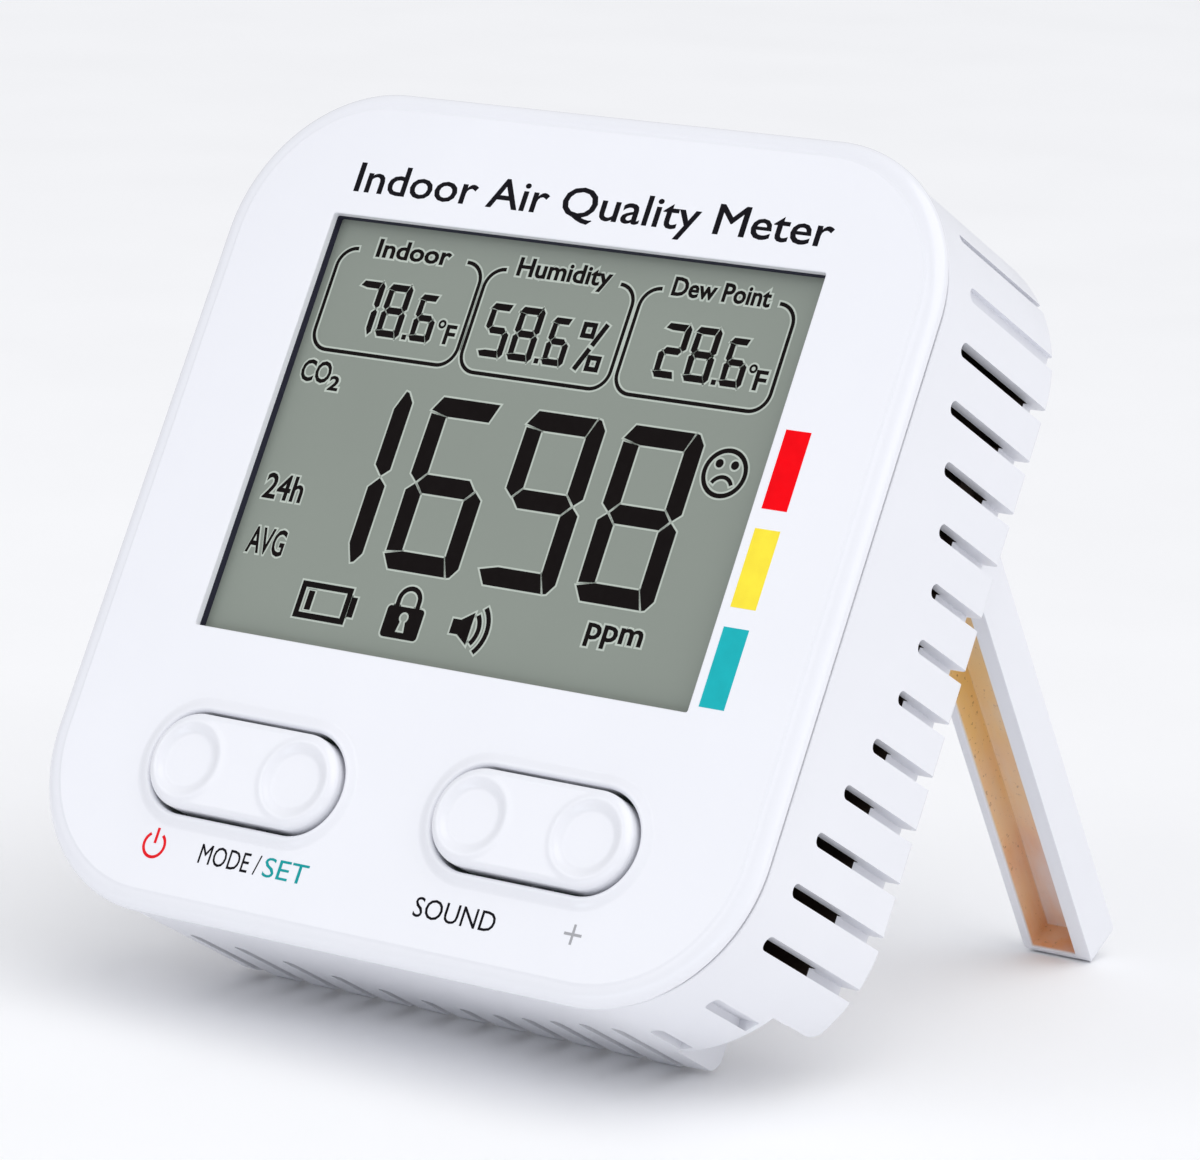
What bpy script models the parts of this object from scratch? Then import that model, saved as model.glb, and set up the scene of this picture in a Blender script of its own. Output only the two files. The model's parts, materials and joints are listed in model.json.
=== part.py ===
"""Desktop carbon dioxide monitor that stands on its rear edge and two flip-out legs.

Every piece is modelled in the case's own frame: X to the right, Y into the depth of the case from
its front face, Z up the face, with the origin at the middle of the front face.  The empty "stance"
leans that frame back until the rear edge and the feet of the legs stand on the floor.
"""
import math

import bmesh
import bpy
from mathutils import Matrix, Vector

MM = 0.001

# Case
FACE_WIDTH = 108.0 * MM
FACE_HEIGHT = 110.5 * MM
FACE_CORNER = 21.0 * MM
CASE_DEPTH = 32.0 * MM
BEZEL_THICKNESS = 1.8 * MM
BEZEL_EDGE = 0.9 * MM
BEZEL_OVERHANG = 0.5 * MM
WALL = 2.0 * MM
GAP = 0.3 * MM
REAR_EDGE = 1.2 * MM
SHELL_WIDTH = FACE_WIDTH - 2 * BEZEL_OVERHANG
SHELL_HEIGHT = FACE_HEIGHT - 2 * BEZEL_OVERHANG
SHELL_CORNER = FACE_CORNER - BEZEL_OVERHANG
SHELL_FRONT = BEZEL_THICKNESS + GAP
REAR_INSIDE = CASE_DEPTH - WALL

# Display
WINDOW_WIDTH = 75.0 * MM
WINDOW_HEIGHT = 56.25 * MM
WINDOW_Z = 9.8 * MM
GLASS_WIDTH = 79.0 * MM
GLASS_HEIGHT = 60.5 * MM
GLASS_DEPTH = 2.8 * MM
GLASS_FRONT = BEZEL_THICKNESS + GAP

# Rocker buttons
ROCKER_X = 22.0 * MM
ROCKER_Z = -35.8 * MM
OPENING_LENGTH = 29.8 * MM
OPENING_HEIGHT = 13.4 * MM
CAP_CLEARANCE = 0.7 * MM
CAP_PROUD = 1.5 * MM
CAP_BACK = 0.7 * MM
CAP_EDGE = 1.0 * MM
SKIRT_BACK = 2.2 * MM
ROCKER_AXIS_Y = 4.2 * MM
ROCKER_PIN_RADIUS = 0.9 * MM
DISH_X = 8.4 * MM
DISH_RADIUS = 4.6 * MM
DISH_DEPTH = 0.6 * MM
RIM_WIDTH = 1.6 * MM
RIM_PROUD = 0.4 * MM
SWITCH_X = 10.0 * MM

# Vent slots
SLOT_WIDTH = 1.8 * MM
SLOT_DEPTH = 2.6 * MM
SIDE_PITCH = 6.85 * MM
SIDE_CENTRE_Z = -0.6 * MM
SIDE_SLOTS_UP = 7
SIDE_SLOTS_DOWN = 6
SIDE_SPAN = 37.5 * MM
SIDE_FRONT_Y = 8.5 * MM
SIDE_SWELL = 5.33 * MM
END_PITCH = 5.9 * MM
END_SLOTS_EACH_WAY = 6
END_SPAN = 38.35 * MM
END_MIDDLE_Y = 18.3 * MM
END_SWELL = 5.7 * MM
CORNER_SLOT_Z = -49.8 * MM
CORNER_SLOT_X = 38.35 * MM
CORNER_SLOT_END_Y = 20.4 * MM

# Legs and their grooves
LEG_X = 42.3 * MM
LEG_WIDTH = 10.2 * MM
LEG_THICKNESS = 6.4 * MM
LEG_PIVOT_Y = 28.7 * MM
LEG_PIVOT_Z = 21.6 * MM
LEG_LENGTH = 77.0 * MM
LEG_HEEL = 2.3 * MM
LEG_OPEN_DEG = 59.4
LEG_PIN_RADIUS = 1.6 * MM
FOOT_ROUND = 1.5 * MM
CHANNEL_WIDTH = 6.0 * MM
CHANNEL_DEPTH = 4.6 * MM
CHANNEL_TOP_Z = -6.0 * MM
GROOVE_WIDTH = 11.8 * MM
GROOVE_FLOOR_Y = 24.8 * MM
GROOVE_TOP_Z = LEG_PIVOT_Z + 5.2 * MM
GROOVE_WALL = 1.6 * MM
GROOVE_SIDE_WALL = 2.8 * MM
LEG_SOCKET_DEPTH = 1.3 * MM
LEG_PIN_LENGTH = 1.6 * MM
NOTCH_FLOOR_Y = 21.3 * MM
NOTCH_TOP_Z = -44.5 * MM
LAND_DEPTH = 0.2 * MM

# How far the cutters reach past the case
SPARE = 3.0 * MM
BELOW_CASE_Z = -60.0 * MM
BEHIND_CASE_Y = 40.0 * MM

# Battery tray, four AA cells side by side
CELL_RADIUS = 7.1 * MM
CELL_LENGTH = 50.5 * MM
CELL_PITCH = 15.0 * MM
CELL_EDGE = 0.7 * MM
NUB_RADIUS = 2.7 * MM
NUB_HEIGHT = 1.2 * MM
CELL_Y = 21.8 * MM
TRAY_HALF_WIDTH = 31.0 * MM
TRAY_BOTTOM_Z = -31.0 * MM
TRAY_TOP_Z = 27.0 * MM
TRAY_FLOOR_Y = 14.3 * MM
TRAY_WALL = 3.0 * MM
COVER_LEDGE = 1.5 * MM
COVER_THICKNESS = 1.6 * MM
COVER_RIB = 1.2 * MM
COVER_GRIP_RADIUS = 9.0 * MM
PLATE_THICKNESS = 0.4 * MM
PLATE_HALF_HEIGHT = 5.5 * MM
PLATE_MARGIN = 5.0 * MM
SPRING_WIRE_RADIUS = 0.35 * MM
SPRING_BASE_RADIUS = 4.6 * MM
SPRING_TIP_RADIUS = 2.6 * MM
LEAD_RADIUS = 0.6 * MM

# Circuit board and screws
BOARD_FRONT = 6.6 * MM
BOARD_THICKNESS = 1.6 * MM
BOARD_WIDTH = 83.0 * MM
BOARD_BOTTOM_Z = -43.5 * MM
BOARD_TOP_Z = 50.0 * MM
BOARD_CORNER = 10.0 * MM
BOARD_BACK = BOARD_FRONT + BOARD_THICKNESS
CASE_SCREWS = ((45.3 * MM, 41.5 * MM), (30.0 * MM, -48.0 * MM))
BOARD_SCREWS = ((24.0 * MM, 46.8 * MM), (37.5 * MM, -26.2 * MM))
POST_RADIUS = 3.5 * MM
POST_END_Y = 12.0 * MM
BOARD_POST_RADIUS = 2.4 * MM
CASE_SHANK_HOLE = 1.8 * MM
CASE_HEAD_HOLE = 3.1 * MM
CASE_SCREW_SEAT_Y = POST_END_Y + 2.3 * MM
BOARD_PILOT_RADIUS = 1.4 * MM
PILOT_START_Y = 3.0 * MM
BOARD_HOLE_RADIUS = 1.5 * MM

# Display holder, bezel lip and rocker bearings
HOLDER_WALL = 1.5 * MM
STRIP_HALF_WIDTH = 1.2 * MM
STRIP_HALF_LENGTH = 35.0 * MM
LIP_THICKNESS = 1.4 * MM
LIP_BACK_Y = 4.6 * MM
BEARING_NEAR = 7.2 * MM
BEARING_FAR = 9.4 * MM
BEARING_HALF_WIDTH = 2.2 * MM
BEARING_BACK_Y = 6.2 * MM
ROCKER_PIN_REACH = 9.2 * MM
ROCKER_WALL = 1.2 * MM
SKIRT_INSET = 0.1 * MM
HUB_HALF_WIDTH = 1.5 * MM
HUB_BACK = 1.2 * MM
OVERLAP = 0.4 * MM
PRESSER_RADIUS = 1.8 * MM
PRESSER_END_Y = 2.0 * MM
SWITCH_HALF = 3.0 * MM
SWITCH_FRONT_Y = 3.4 * MM
PLUNGER_RADIUS = 1.6 * MM
PLUNGER_FRONT_Y = 2.5 * MM

# Carbon dioxide sensor
SENSOR_HALF_WIDTH = 16.5 * MM
SENSOR_BOTTOM_Z = 31.5 * MM
SENSOR_TOP_Z = 51.0 * MM
SENSOR_BOARD_THICKNESS = 1.0 * MM
HEADER_HEIGHT = 2.0 * MM
CHAMBER_WIDTH = 30.0 * MM
CHAMBER_HEIGHT = 16.0 * MM
CHAMBER_DEPTH = 8.0 * MM
FILTER_RADIUS = 4.0 * MM
FILTER_THICKNESS = 0.6 * MM

WHITE = (0.90, 0.91, 0.94)

# Turns a shape's own Z axis to point out of the back of the case
FACING_BACK = (-math.pi / 2, 0, 0)


# ---------------------------------------------------------------- scene and materials

def clear_scene():
    for obj in list(bpy.data.objects):
        bpy.data.objects.remove(obj, do_unlink=True)


def make_collection(name):
    collection = bpy.data.collections.new(name)
    bpy.context.scene.collection.children.link(collection)
    return collection


def make_material(name, colour, roughness, metallic=0.0):
    material = bpy.data.materials.new(name)
    material.use_nodes = True
    shader = material.node_tree.nodes["Principled BSDF"]
    shader.inputs["Base Color"].default_value = (*colour, 1.0)
    shader.inputs["Roughness"].default_value = roughness
    shader.inputs["Metallic"].default_value = metallic
    material.diffuse_color = (*colour, 1.0)
    return material


def add_object(name, mesh, collection, location=(0, 0, 0), rotation=(0, 0, 0)):
    obj = bpy.data.objects.new(name, mesh)
    collection.objects.link(obj)
    obj.parent = stance
    obj.location = location
    obj.rotation_euler = rotation
    return obj


def add_part(name, mesh, material, location=(0, 0, 0), rotation=(0, 0, 0)):
    """A sub-part of the monitor, shaded smooth with sharp corners kept."""
    obj = add_object(name, mesh, parts, location, rotation)
    mesh.materials.clear()
    mesh.materials.append(material)
    mesh.shade_smooth()
    mesh.set_sharp_from_angle(angle=math.radians(35))
    return obj


def add_guide(name, mesh, location=(0, 0, 0), rotation=(0, 0, 0)):
    """A shape that only cuts or extends a sub-part."""
    obj = add_object(name, mesh, cutters, location, rotation)
    obj.hide_render = True
    obj.display_type = "WIRE"
    return obj


def boolean(target, guide, operation):
    modifier = target.modifiers.new(guide.name, "BOOLEAN")
    modifier.operation = operation
    modifier.solver = "EXACT"
    modifier.object = guide


def cut(target, guide):
    boolean(target, guide, "DIFFERENCE")


def join(target, guide):
    boolean(target, guide, "UNION")


# ---------------------------------------------------------------- shapes

def mesh_from(bm, name):
    mesh = bpy.data.meshes.new(name)
    bm.to_mesh(mesh)
    bm.free()
    return mesh


def box(name, low, high):
    low, high = Vector(low), Vector(high)
    place = Matrix.Translation((low + high) / 2) @ Matrix.Diagonal((*(high - low), 1))
    bm = bmesh.new()
    bmesh.ops.create_cube(bm, size=1, matrix=place)
    return mesh_from(bm, name)


def boxes(name, corners):
    """Several boxes that don't touch, in one mesh."""
    bm = bmesh.new()
    for low, high in corners:
        low, high = Vector(low), Vector(high)
        place = Matrix.Translation((low + high) / 2) @ Matrix.Diagonal((*(high - low), 1))
        bmesh.ops.create_cube(bm, size=1, matrix=place)
    return mesh_from(bm, name)


def cylinders(name, radius, ends, segments=16):
    """Round bars of one radius between pairs of end points."""
    bm = bmesh.new()
    for start, end in ends:
        start, end = Vector(start), Vector(end)
        turn = Vector((0, 0, 1)).rotation_difference(end - start).to_matrix().to_4x4()
        place = Matrix.Translation((start + end) / 2) @ turn
        bmesh.ops.create_cone(bm, cap_ends=True, segments=segments, radius1=radius, radius2=radius,
                              depth=(end - start).length, matrix=place)
    return mesh_from(bm, name)


def rounded_outline(width, height, radius, centre=(0.0, 0.0), steps=6):
    """Points round a rectangle with round corners, anticlockwise."""
    points = []
    corners = ((1, 1, 0), (-1, 1, 90), (-1, -1, 180), (1, -1, 270))
    for side, end, start in corners:
        middle_u = centre[0] + side * (width / 2 - radius)
        middle_v = centre[1] + end * (height / 2 - radius)
        for step in range(steps + 1):
            angle = math.radians(start + 90 * step / steps)
            points.append((middle_u + radius * math.cos(angle), middle_v + radius * math.sin(angle)))
    return points


AXIS_TURNS = {
    "Z": Matrix.Identity(4),
    "Y": Matrix(((1, 0, 0, 0), (0, 0, -1, 0), (0, 1, 0, 0), (0, 0, 0, 1))),
    "X": Matrix(((0, 0, 1, 0), (1, 0, 0, 0), (0, 1, 0, 0), (0, 0, 0, 1))),
}


def slab(name, outlines, low, high, axis="Y"):
    """Flat outlines, holes included, given thickness from low to high along an axis.

    The outlines lie in the X-Z plane for axis Y, in Y-Z for axis X and in X-Y for axis Z.
    """
    curve = bpy.data.curves.new(name, "CURVE")
    curve.dimensions = "2D"
    curve.fill_mode = "BOTH"
    curve.extrude = (high - low) / 2
    for outline in outlines:
        spline = curve.splines.new("POLY")
        spline.points.add(len(outline) - 1)
        for point, (u, v) in zip(spline.points, outline):
            point.co = (u, v, 0, 1)
        spline.use_cyclic_u = True
    holder = bpy.data.objects.new(name, curve)
    bpy.context.scene.collection.objects.link(holder)
    depsgraph = bpy.context.evaluated_depsgraph_get()
    mesh = bpy.data.meshes.new_from_object(holder.evaluated_get(depsgraph))
    bpy.data.objects.remove(holder)
    bpy.data.curves.remove(curve)
    shift = {"X": (1, 0, 0), "Y": (0, 1, 0), "Z": (0, 0, 1)}[axis]
    place = Matrix.Translation(Vector(shift) * (low + high) / 2) @ AXIS_TURNS[axis]
    bm = bmesh.new()
    bm.from_mesh(mesh)
    bpy.data.meshes.remove(mesh)
    bmesh.ops.remove_doubles(bm, verts=bm.verts, dist=1e-6)
    bmesh.ops.transform(bm, matrix=place, verts=bm.verts)
    bmesh.ops.dissolve_limit(bm, angle_limit=0.001, verts=bm.verts, edges=bm.edges)
    bmesh.ops.recalc_face_normals(bm, faces=bm.faces)
    return mesh_from(bm, name)


def round_rim(mesh, y, radius, segments):
    """Rounds the outer edge of a slab's face at depth y."""
    bm = bmesh.new()
    bm.from_mesh(mesh)
    tiny = 1e-6
    rim = [edge for edge in bm.edges
           if all(abs(vert.co.y - y) < tiny for vert in edge.verts) and edge.calc_face_angle() > 1.0]
    bmesh.ops.bevel(bm, geom=rim, offset=radius, segments=segments, profile=0.5, affect="EDGES",
                    clamp_overlap=True)
    bm.to_mesh(mesh)
    bm.free()


def turned(name, profile, material, location, rotation, steps=20):
    """A profile of radius and height pairs, top to bottom, turned about its own Z axis."""
    mesh = bpy.data.meshes.new(name)
    points = [(radius, 0, height) for radius, height in profile]
    mesh.from_pydata(points, [(i, i + 1) for i in range(len(points) - 1)], [])
    obj = add_part(name, mesh, material, location, rotation)
    screw = obj.modifiers.new("Turn", "SCREW")
    screw.steps = steps
    screw.render_steps = steps
    screw.use_merge_vertices = True
    screw.merge_threshold = 1e-6
    screw.use_normal_calculate = False
    return obj


def wire(name, points, radius, material, resolution=2):
    """A round wire along a line of points, with closed ends."""
    curve = bpy.data.curves.new(name, "CURVE")
    curve.dimensions = "3D"
    curve.bevel_depth = radius
    curve.bevel_resolution = resolution
    curve.use_fill_caps = True
    spline = curve.splines.new("POLY")
    spline.points.add(len(points) - 1)
    for point, place in zip(spline.points, points):
        point.co = (*place, 1)
    curve.materials.append(material)
    return add_object(name, curve, parts)


def mirrored(points):
    """The same places on both sides of the case."""
    return [(side * x, z) for x, z in points for side in (-1, 1)]


# ---------------------------------------------------------------- stance

def stance_numbers():
    """Lean angle, and the height that the shell's rounded rear edge gives the case."""
    edge_y = CASE_DEPTH - REAR_EDGE
    edge_z = -SHELL_HEIGHT / 2 + REAR_EDGE
    opening = math.radians(LEG_OPEN_DEG)
    along = (math.sin(opening), -math.cos(opening))
    across = (-math.cos(opening), -math.sin(opening))
    heel_to_toe = LEG_LENGTH - FOOT_ROUND
    front = LEG_THICKNESS - (CASE_DEPTH - LEG_PIVOT_Y) - FOOT_ROUND
    toe_y = LEG_PIVOT_Y + along[0] * heel_to_toe + across[0] * front
    toe_z = LEG_PIVOT_Z + along[1] * heel_to_toe + across[1] * front
    reach = math.hypot(toe_y - edge_y, toe_z - edge_z)
    lean = math.atan2(toe_z - edge_z, toe_y - edge_y) + math.asin((REAR_EDGE - FOOT_ROUND) / reach)
    height = edge_y * math.sin(lean) - edge_z * math.cos(lean) + REAR_EDGE - LAND_DEPTH
    return lean, height


def floor_cutter(lean, height):
    """Everything below the floor, to give the rear edge and the feet their narrow flat lands."""
    half, depth = 150 * MM, 20 * MM
    mesh = box("below_floor", (-half, -half, -depth), (half, half, 0))
    place = Vector((0, height * math.sin(lean), -height * math.cos(lean)))
    return add_guide("below_floor", mesh, place, (lean, 0, 0))


# ---------------------------------------------------------------- casing

def side_surface_x(z, half_width, half_height, corner):
    """Distance from the middle to the outside of the case's side at height z."""
    rise = abs(z) - (half_height - corner)
    if rise <= 0:
        return half_width
    return half_width - corner + math.sqrt(corner ** 2 - rise ** 2)


def slot_outline(front, back, middle):
    """A slot with a round front end, running back along the first coordinate."""
    half, steps = SLOT_WIDTH / 2, 4
    points = [(back, middle - half), (back, middle + half)]
    for step in range(steps + 1):
        angle = math.pi / 2 + math.pi * step / steps
        points.append((front + half + half * math.cos(angle), middle + half * math.sin(angle)))
    return points


def join_meshes(name, meshes):
    bm = bmesh.new()
    for mesh in meshes:
        bm.from_mesh(mesh)
        bpy.data.meshes.remove(mesh)
    return mesh_from(bm, name)


def side_slots():
    """Slots along both sides, open at the rear except in the bottom corners."""
    meshes = []
    back = CASE_DEPTH + SPARE
    outside = SHELL_WIDTH / 2 + SPARE
    rows = []
    for number in range(-SIDE_SLOTS_DOWN, SIDE_SLOTS_UP + 1):
        offset = number * SIDE_PITCH
        swell = 1 + math.cos(math.pi * min(abs(offset) / SIDE_SPAN, 1))
        rows.append((SIDE_CENTRE_Z + offset, SIDE_FRONT_Y + SIDE_SWELL * swell, back))
    rows.append((CORNER_SLOT_Z, SIDE_FRONT_Y + 1.5 * MM, CORNER_SLOT_END_Y))
    for z, front, end in rows:
        surface = side_surface_x(z, SHELL_WIDTH / 2, SHELL_HEIGHT / 2, SHELL_CORNER)
        slope = (surface - (SHELL_WIDTH / 2 - SHELL_CORNER)) / SHELL_CORNER
        inner = surface - SLOT_DEPTH / max(slope, 0.5)
        outline = slot_outline(front, end, z)
        for low, high in ((inner, outside), (-outside, -inner)):
            meshes.append(slab("slot", [outline], low, high, "X"))
    return join_meshes("side_slots", meshes)


def end_slots():
    """Slots along the top and the underside, open at the rear."""
    meshes = []
    half_height = SHELL_HEIGHT / 2
    for number in range(-END_SLOTS_EACH_WAY - 1, END_SLOTS_EACH_WAY + 1):
        x = (number + 0.5) * END_PITCH
        front = END_MIDDLE_Y + END_SWELL * math.cos(math.pi * x / END_SPAN)
        in_corner = abs(x) > CORNER_SLOT_X - END_PITCH / 2
        inner = half_height - SLOT_DEPTH
        for low, high in ((-half_height - SPARE, -inner), (inner, half_height + SPARE)):
            stops_early = in_corner and low < 0
            back = CORNER_SLOT_END_Y if stops_early else CASE_DEPTH + SPARE
            outline = [(u, v) for v, u in slot_outline(front, back, x)]
            meshes.append(slab("slot", [outline], low, high, "Z"))
    return join_meshes("end_slots", meshes)


def groove_boxes(margin, floor, top):
    """A box for each leg groove, wider than it by margin, that runs out of the case below and behind."""
    half = GROOVE_WIDTH / 2 + margin
    return [((side * LEG_X - half, floor, BELOW_CASE_Z), (side * LEG_X + half, BEHIND_CASE_Y, top))
            for side in (-1, 1)]


def inside_air():
    """The room inside the rear shell, without the grooves, tray and screw bosses that stand in it."""
    outline = rounded_outline(SHELL_WIDTH - 2 * WALL, SHELL_HEIGHT - 2 * WALL, SHELL_CORNER - WALL)
    air = add_guide("inside_air", slab("inside_air", [outline], 0, REAR_INSIDE))
    blocks = groove_boxes(GROOVE_SIDE_WALL, GROOVE_FLOOR_Y - GROOVE_WALL, GROOVE_TOP_Z + GROOVE_WALL)
    cut(air, add_guide("groove_blocks", boxes("groove_blocks", blocks)))
    notches = groove_boxes(GROOVE_SIDE_WALL, NOTCH_FLOOR_Y - GROOVE_WALL, NOTCH_TOP_Z + GROOVE_WALL)
    cut(air, add_guide("notch_blocks", boxes("notch_blocks", notches)))
    half = TRAY_HALF_WIDTH + TRAY_WALL
    tray = box("tray_block", (-half, TRAY_FLOOR_Y - COVER_LEDGE, TRAY_BOTTOM_Z - TRAY_WALL),
               (half, BEHIND_CASE_Y, TRAY_TOP_Z + TRAY_WALL))
    cut(air, add_guide("tray_block", tray))
    bosses = [((x, POST_END_Y + GAP, z), (x, BEHIND_CASE_Y, z)) for x, z in mirrored(CASE_SCREWS)]
    cut(air, add_guide("boss_blocks", cylinders("boss_blocks", POST_RADIUS, bosses)))
    return air


def rear_shell(material, floor):
    outline = rounded_outline(SHELL_WIDTH, SHELL_HEIGHT, SHELL_CORNER)
    mesh = slab("rear_shell", [outline], SHELL_FRONT, CASE_DEPTH)
    round_rim(mesh, CASE_DEPTH, REAR_EDGE, 4)
    shell = add_part("rear_shell", mesh, material)
    cut(shell, inside_air())
    cut(shell, add_guide("grooves", boxes("grooves", groove_boxes(0, GROOVE_FLOOR_Y, GROOVE_TOP_Z))))
    notches = boxes("finger_notches", groove_boxes(-0.05 * MM, NOTCH_FLOOR_Y, NOTCH_TOP_Z))
    cut(shell, add_guide("finger_notches", notches))
    tray = box("tray_hollow", (-TRAY_HALF_WIDTH, TRAY_FLOOR_Y, TRAY_BOTTOM_Z),
               (TRAY_HALF_WIDTH, BEHIND_CASE_Y, TRAY_TOP_Z))
    cut(shell, add_guide("tray_hollow", tray))
    ledge = box("cover_recess", (-TRAY_HALF_WIDTH - COVER_LEDGE, REAR_INSIDE, TRAY_BOTTOM_Z - COVER_LEDGE),
                (TRAY_HALF_WIDTH + COVER_LEDGE, BEHIND_CASE_Y, TRAY_TOP_Z + COVER_LEDGE))
    cut(shell, add_guide("cover_recess", ledge))
    half_pin = GROOVE_WIDTH / 2 + LEG_SOCKET_DEPTH
    sockets = [((side * LEG_X - half_pin, LEG_PIVOT_Y, LEG_PIVOT_Z),
                (side * LEG_X + half_pin, LEG_PIVOT_Y, LEG_PIVOT_Z)) for side in (-1, 1)]
    cut(shell, add_guide("leg_sockets", cylinders("leg_sockets", LEG_PIN_RADIUS + GAP, sockets, 16)))
    places = mirrored(CASE_SCREWS)
    shanks = [((x, POST_END_Y - SPARE, z), (x, BEHIND_CASE_Y, z)) for x, z in places]
    cut(shell, add_guide("screw_shank_holes", cylinders("screw_shank_holes", CASE_SHANK_HOLE, shanks, 12)))
    heads = [((x, CASE_SCREW_SEAT_Y, z), (x, BEHIND_CASE_Y, z)) for x, z in places]
    cut(shell, add_guide("screw_head_holes", cylinders("screw_head_holes", CASE_HEAD_HOLE, heads, 16)))
    cut(shell, add_guide("side_slots", side_slots()))
    cut(shell, add_guide("end_slots", end_slots()))
    cut(shell, floor)
    return shell


def pill_outline(length, height, centre):
    return rounded_outline(length, height, height / 2, centre)


def front_bezel(material):
    outline = rounded_outline(FACE_WIDTH, FACE_HEIGHT, FACE_CORNER)
    mesh = slab("front_bezel", [outline], 0, BEZEL_THICKNESS)
    round_rim(mesh, 0, BEZEL_EDGE, 2)
    bezel = add_part("front_bezel", mesh, material)
    inset = BEZEL_OVERHANG + WALL + GAP
    lip = [rounded_outline(FACE_WIDTH - 2 * offset, FACE_HEIGHT - 2 * offset, FACE_CORNER - offset)
           for offset in (inset, inset + LIP_THICKNESS)]
    root = BEZEL_THICKNESS / 2
    join(bezel, add_guide("bezel_lip", slab("bezel_lip", lip, root, LIP_BACK_Y)))
    for name, centre in (("rim_left", (-ROCKER_X, ROCKER_Z)), ("rim_right", (ROCKER_X, ROCKER_Z))):
        outer = pill_outline(OPENING_LENGTH + 2 * RIM_WIDTH, OPENING_HEIGHT + 2 * RIM_WIDTH, centre)
        rim = slab(name, [outer], -RIM_PROUD, root)
        round_rim(rim, -RIM_PROUD, RIM_PROUD * 0.9, 1)
        join(bezel, add_guide(name, rim))
    bearings = []
    for x in (-ROCKER_X, ROCKER_X):
        for z in (ROCKER_Z - BEARING_FAR, ROCKER_Z + BEARING_NEAR):
            bearings.append(((x - BEARING_HALF_WIDTH, root, z),
                             (x + BEARING_HALF_WIDTH, BEARING_BACK_Y, z + BEARING_FAR - BEARING_NEAR)))
    join(bezel, add_guide("rocker_bearings", boxes("rocker_bearings", bearings)))
    case_posts = [((x, root, z), (x, POST_END_Y, z)) for x, z in mirrored(CASE_SCREWS)]
    join(bezel, add_guide("case_posts", cylinders("case_posts", POST_RADIUS, case_posts)))
    board_posts = [((x, root, z), (x, BOARD_FRONT - GAP, z)) for x, z in mirrored(BOARD_SCREWS)]
    join(bezel, add_guide("board_posts", cylinders("board_posts", BOARD_POST_RADIUS, board_posts)))
    window = box("window", (-WINDOW_WIDTH / 2, -SPARE, WINDOW_Z - WINDOW_HEIGHT / 2),
                 (WINDOW_WIDTH / 2, LIP_BACK_Y + SPARE, WINDOW_Z + WINDOW_HEIGHT / 2))
    cut(bezel, add_guide("window", window))
    pills = [pill_outline(OPENING_LENGTH, OPENING_HEIGHT, (x, ROCKER_Z)) for x in (-ROCKER_X, ROCKER_X)]
    openings = slab("button_openings", pills, -SPARE, BEARING_BACK_Y + SPARE)
    cut(bezel, add_guide("button_openings", openings))
    reach = BEARING_FAR + SPARE
    holes = [((x, ROCKER_AXIS_Y, ROCKER_Z - reach), (x, ROCKER_AXIS_Y, ROCKER_Z + reach))
             for x in (-ROCKER_X, ROCKER_X)]
    cut(bezel, add_guide("bearing_holes", cylinders("bearing_holes", ROCKER_PIN_RADIUS + GAP, holes, 12)))
    pilots = [((x, PILOT_START_Y, z), (x, POST_END_Y + SPARE, z)) for x, z in mirrored(CASE_SCREWS)]
    cut(bezel, add_guide("case_pilots", cylinders("case_pilots", CASE_SHANK_HOLE, pilots, 12)))
    pilots = [((x, PILOT_START_Y, z), (x, BOARD_FRONT + SPARE, z)) for x, z in mirrored(BOARD_SCREWS)]
    cut(bezel, add_guide("board_pilots", cylinders("board_pilots", BOARD_PILOT_RADIUS, pilots, 12)))
    return bezel


def battery_cover(material):
    half = TRAY_HALF_WIDTH + COVER_LEDGE - GAP
    low = TRAY_BOTTOM_Z - COVER_LEDGE + GAP
    high = TRAY_TOP_Z + COVER_LEDGE - GAP
    front = REAR_INSIDE + GAP
    outline = rounded_outline(2 * half, high - low, 1.0 * MM, (0, (low + high) / 2), 2)
    mesh = slab("battery_cover", [outline], front, front + COVER_THICKNESS)
    cover = add_part("battery_cover", mesh, material)
    rib_end = 4 * MM
    ribs = [((x - COVER_RIB / 2, front - 1.0 * MM, low + rib_end),
             (x + COVER_RIB / 2, front + 0.5 * MM, high - rib_end)) for x in (-CELL_PITCH, 0, CELL_PITCH)]
    join(cover, add_guide("cover_ribs", boxes("cover_ribs", ribs)))
    grip_half, grip_depth = 8 * MM, 1.0 * MM
    grip_y = front + COVER_THICKNESS + COVER_GRIP_RADIUS - grip_depth
    grip = cylinders("cover_grip", COVER_GRIP_RADIUS,
                     [((-grip_half, grip_y, high - 7 * MM), (grip_half, grip_y, high - 7 * MM))], 24)
    cut(cover, add_guide("cover_grip", grip))
    return cover


# ---------------------------------------------------------------- legs

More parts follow.
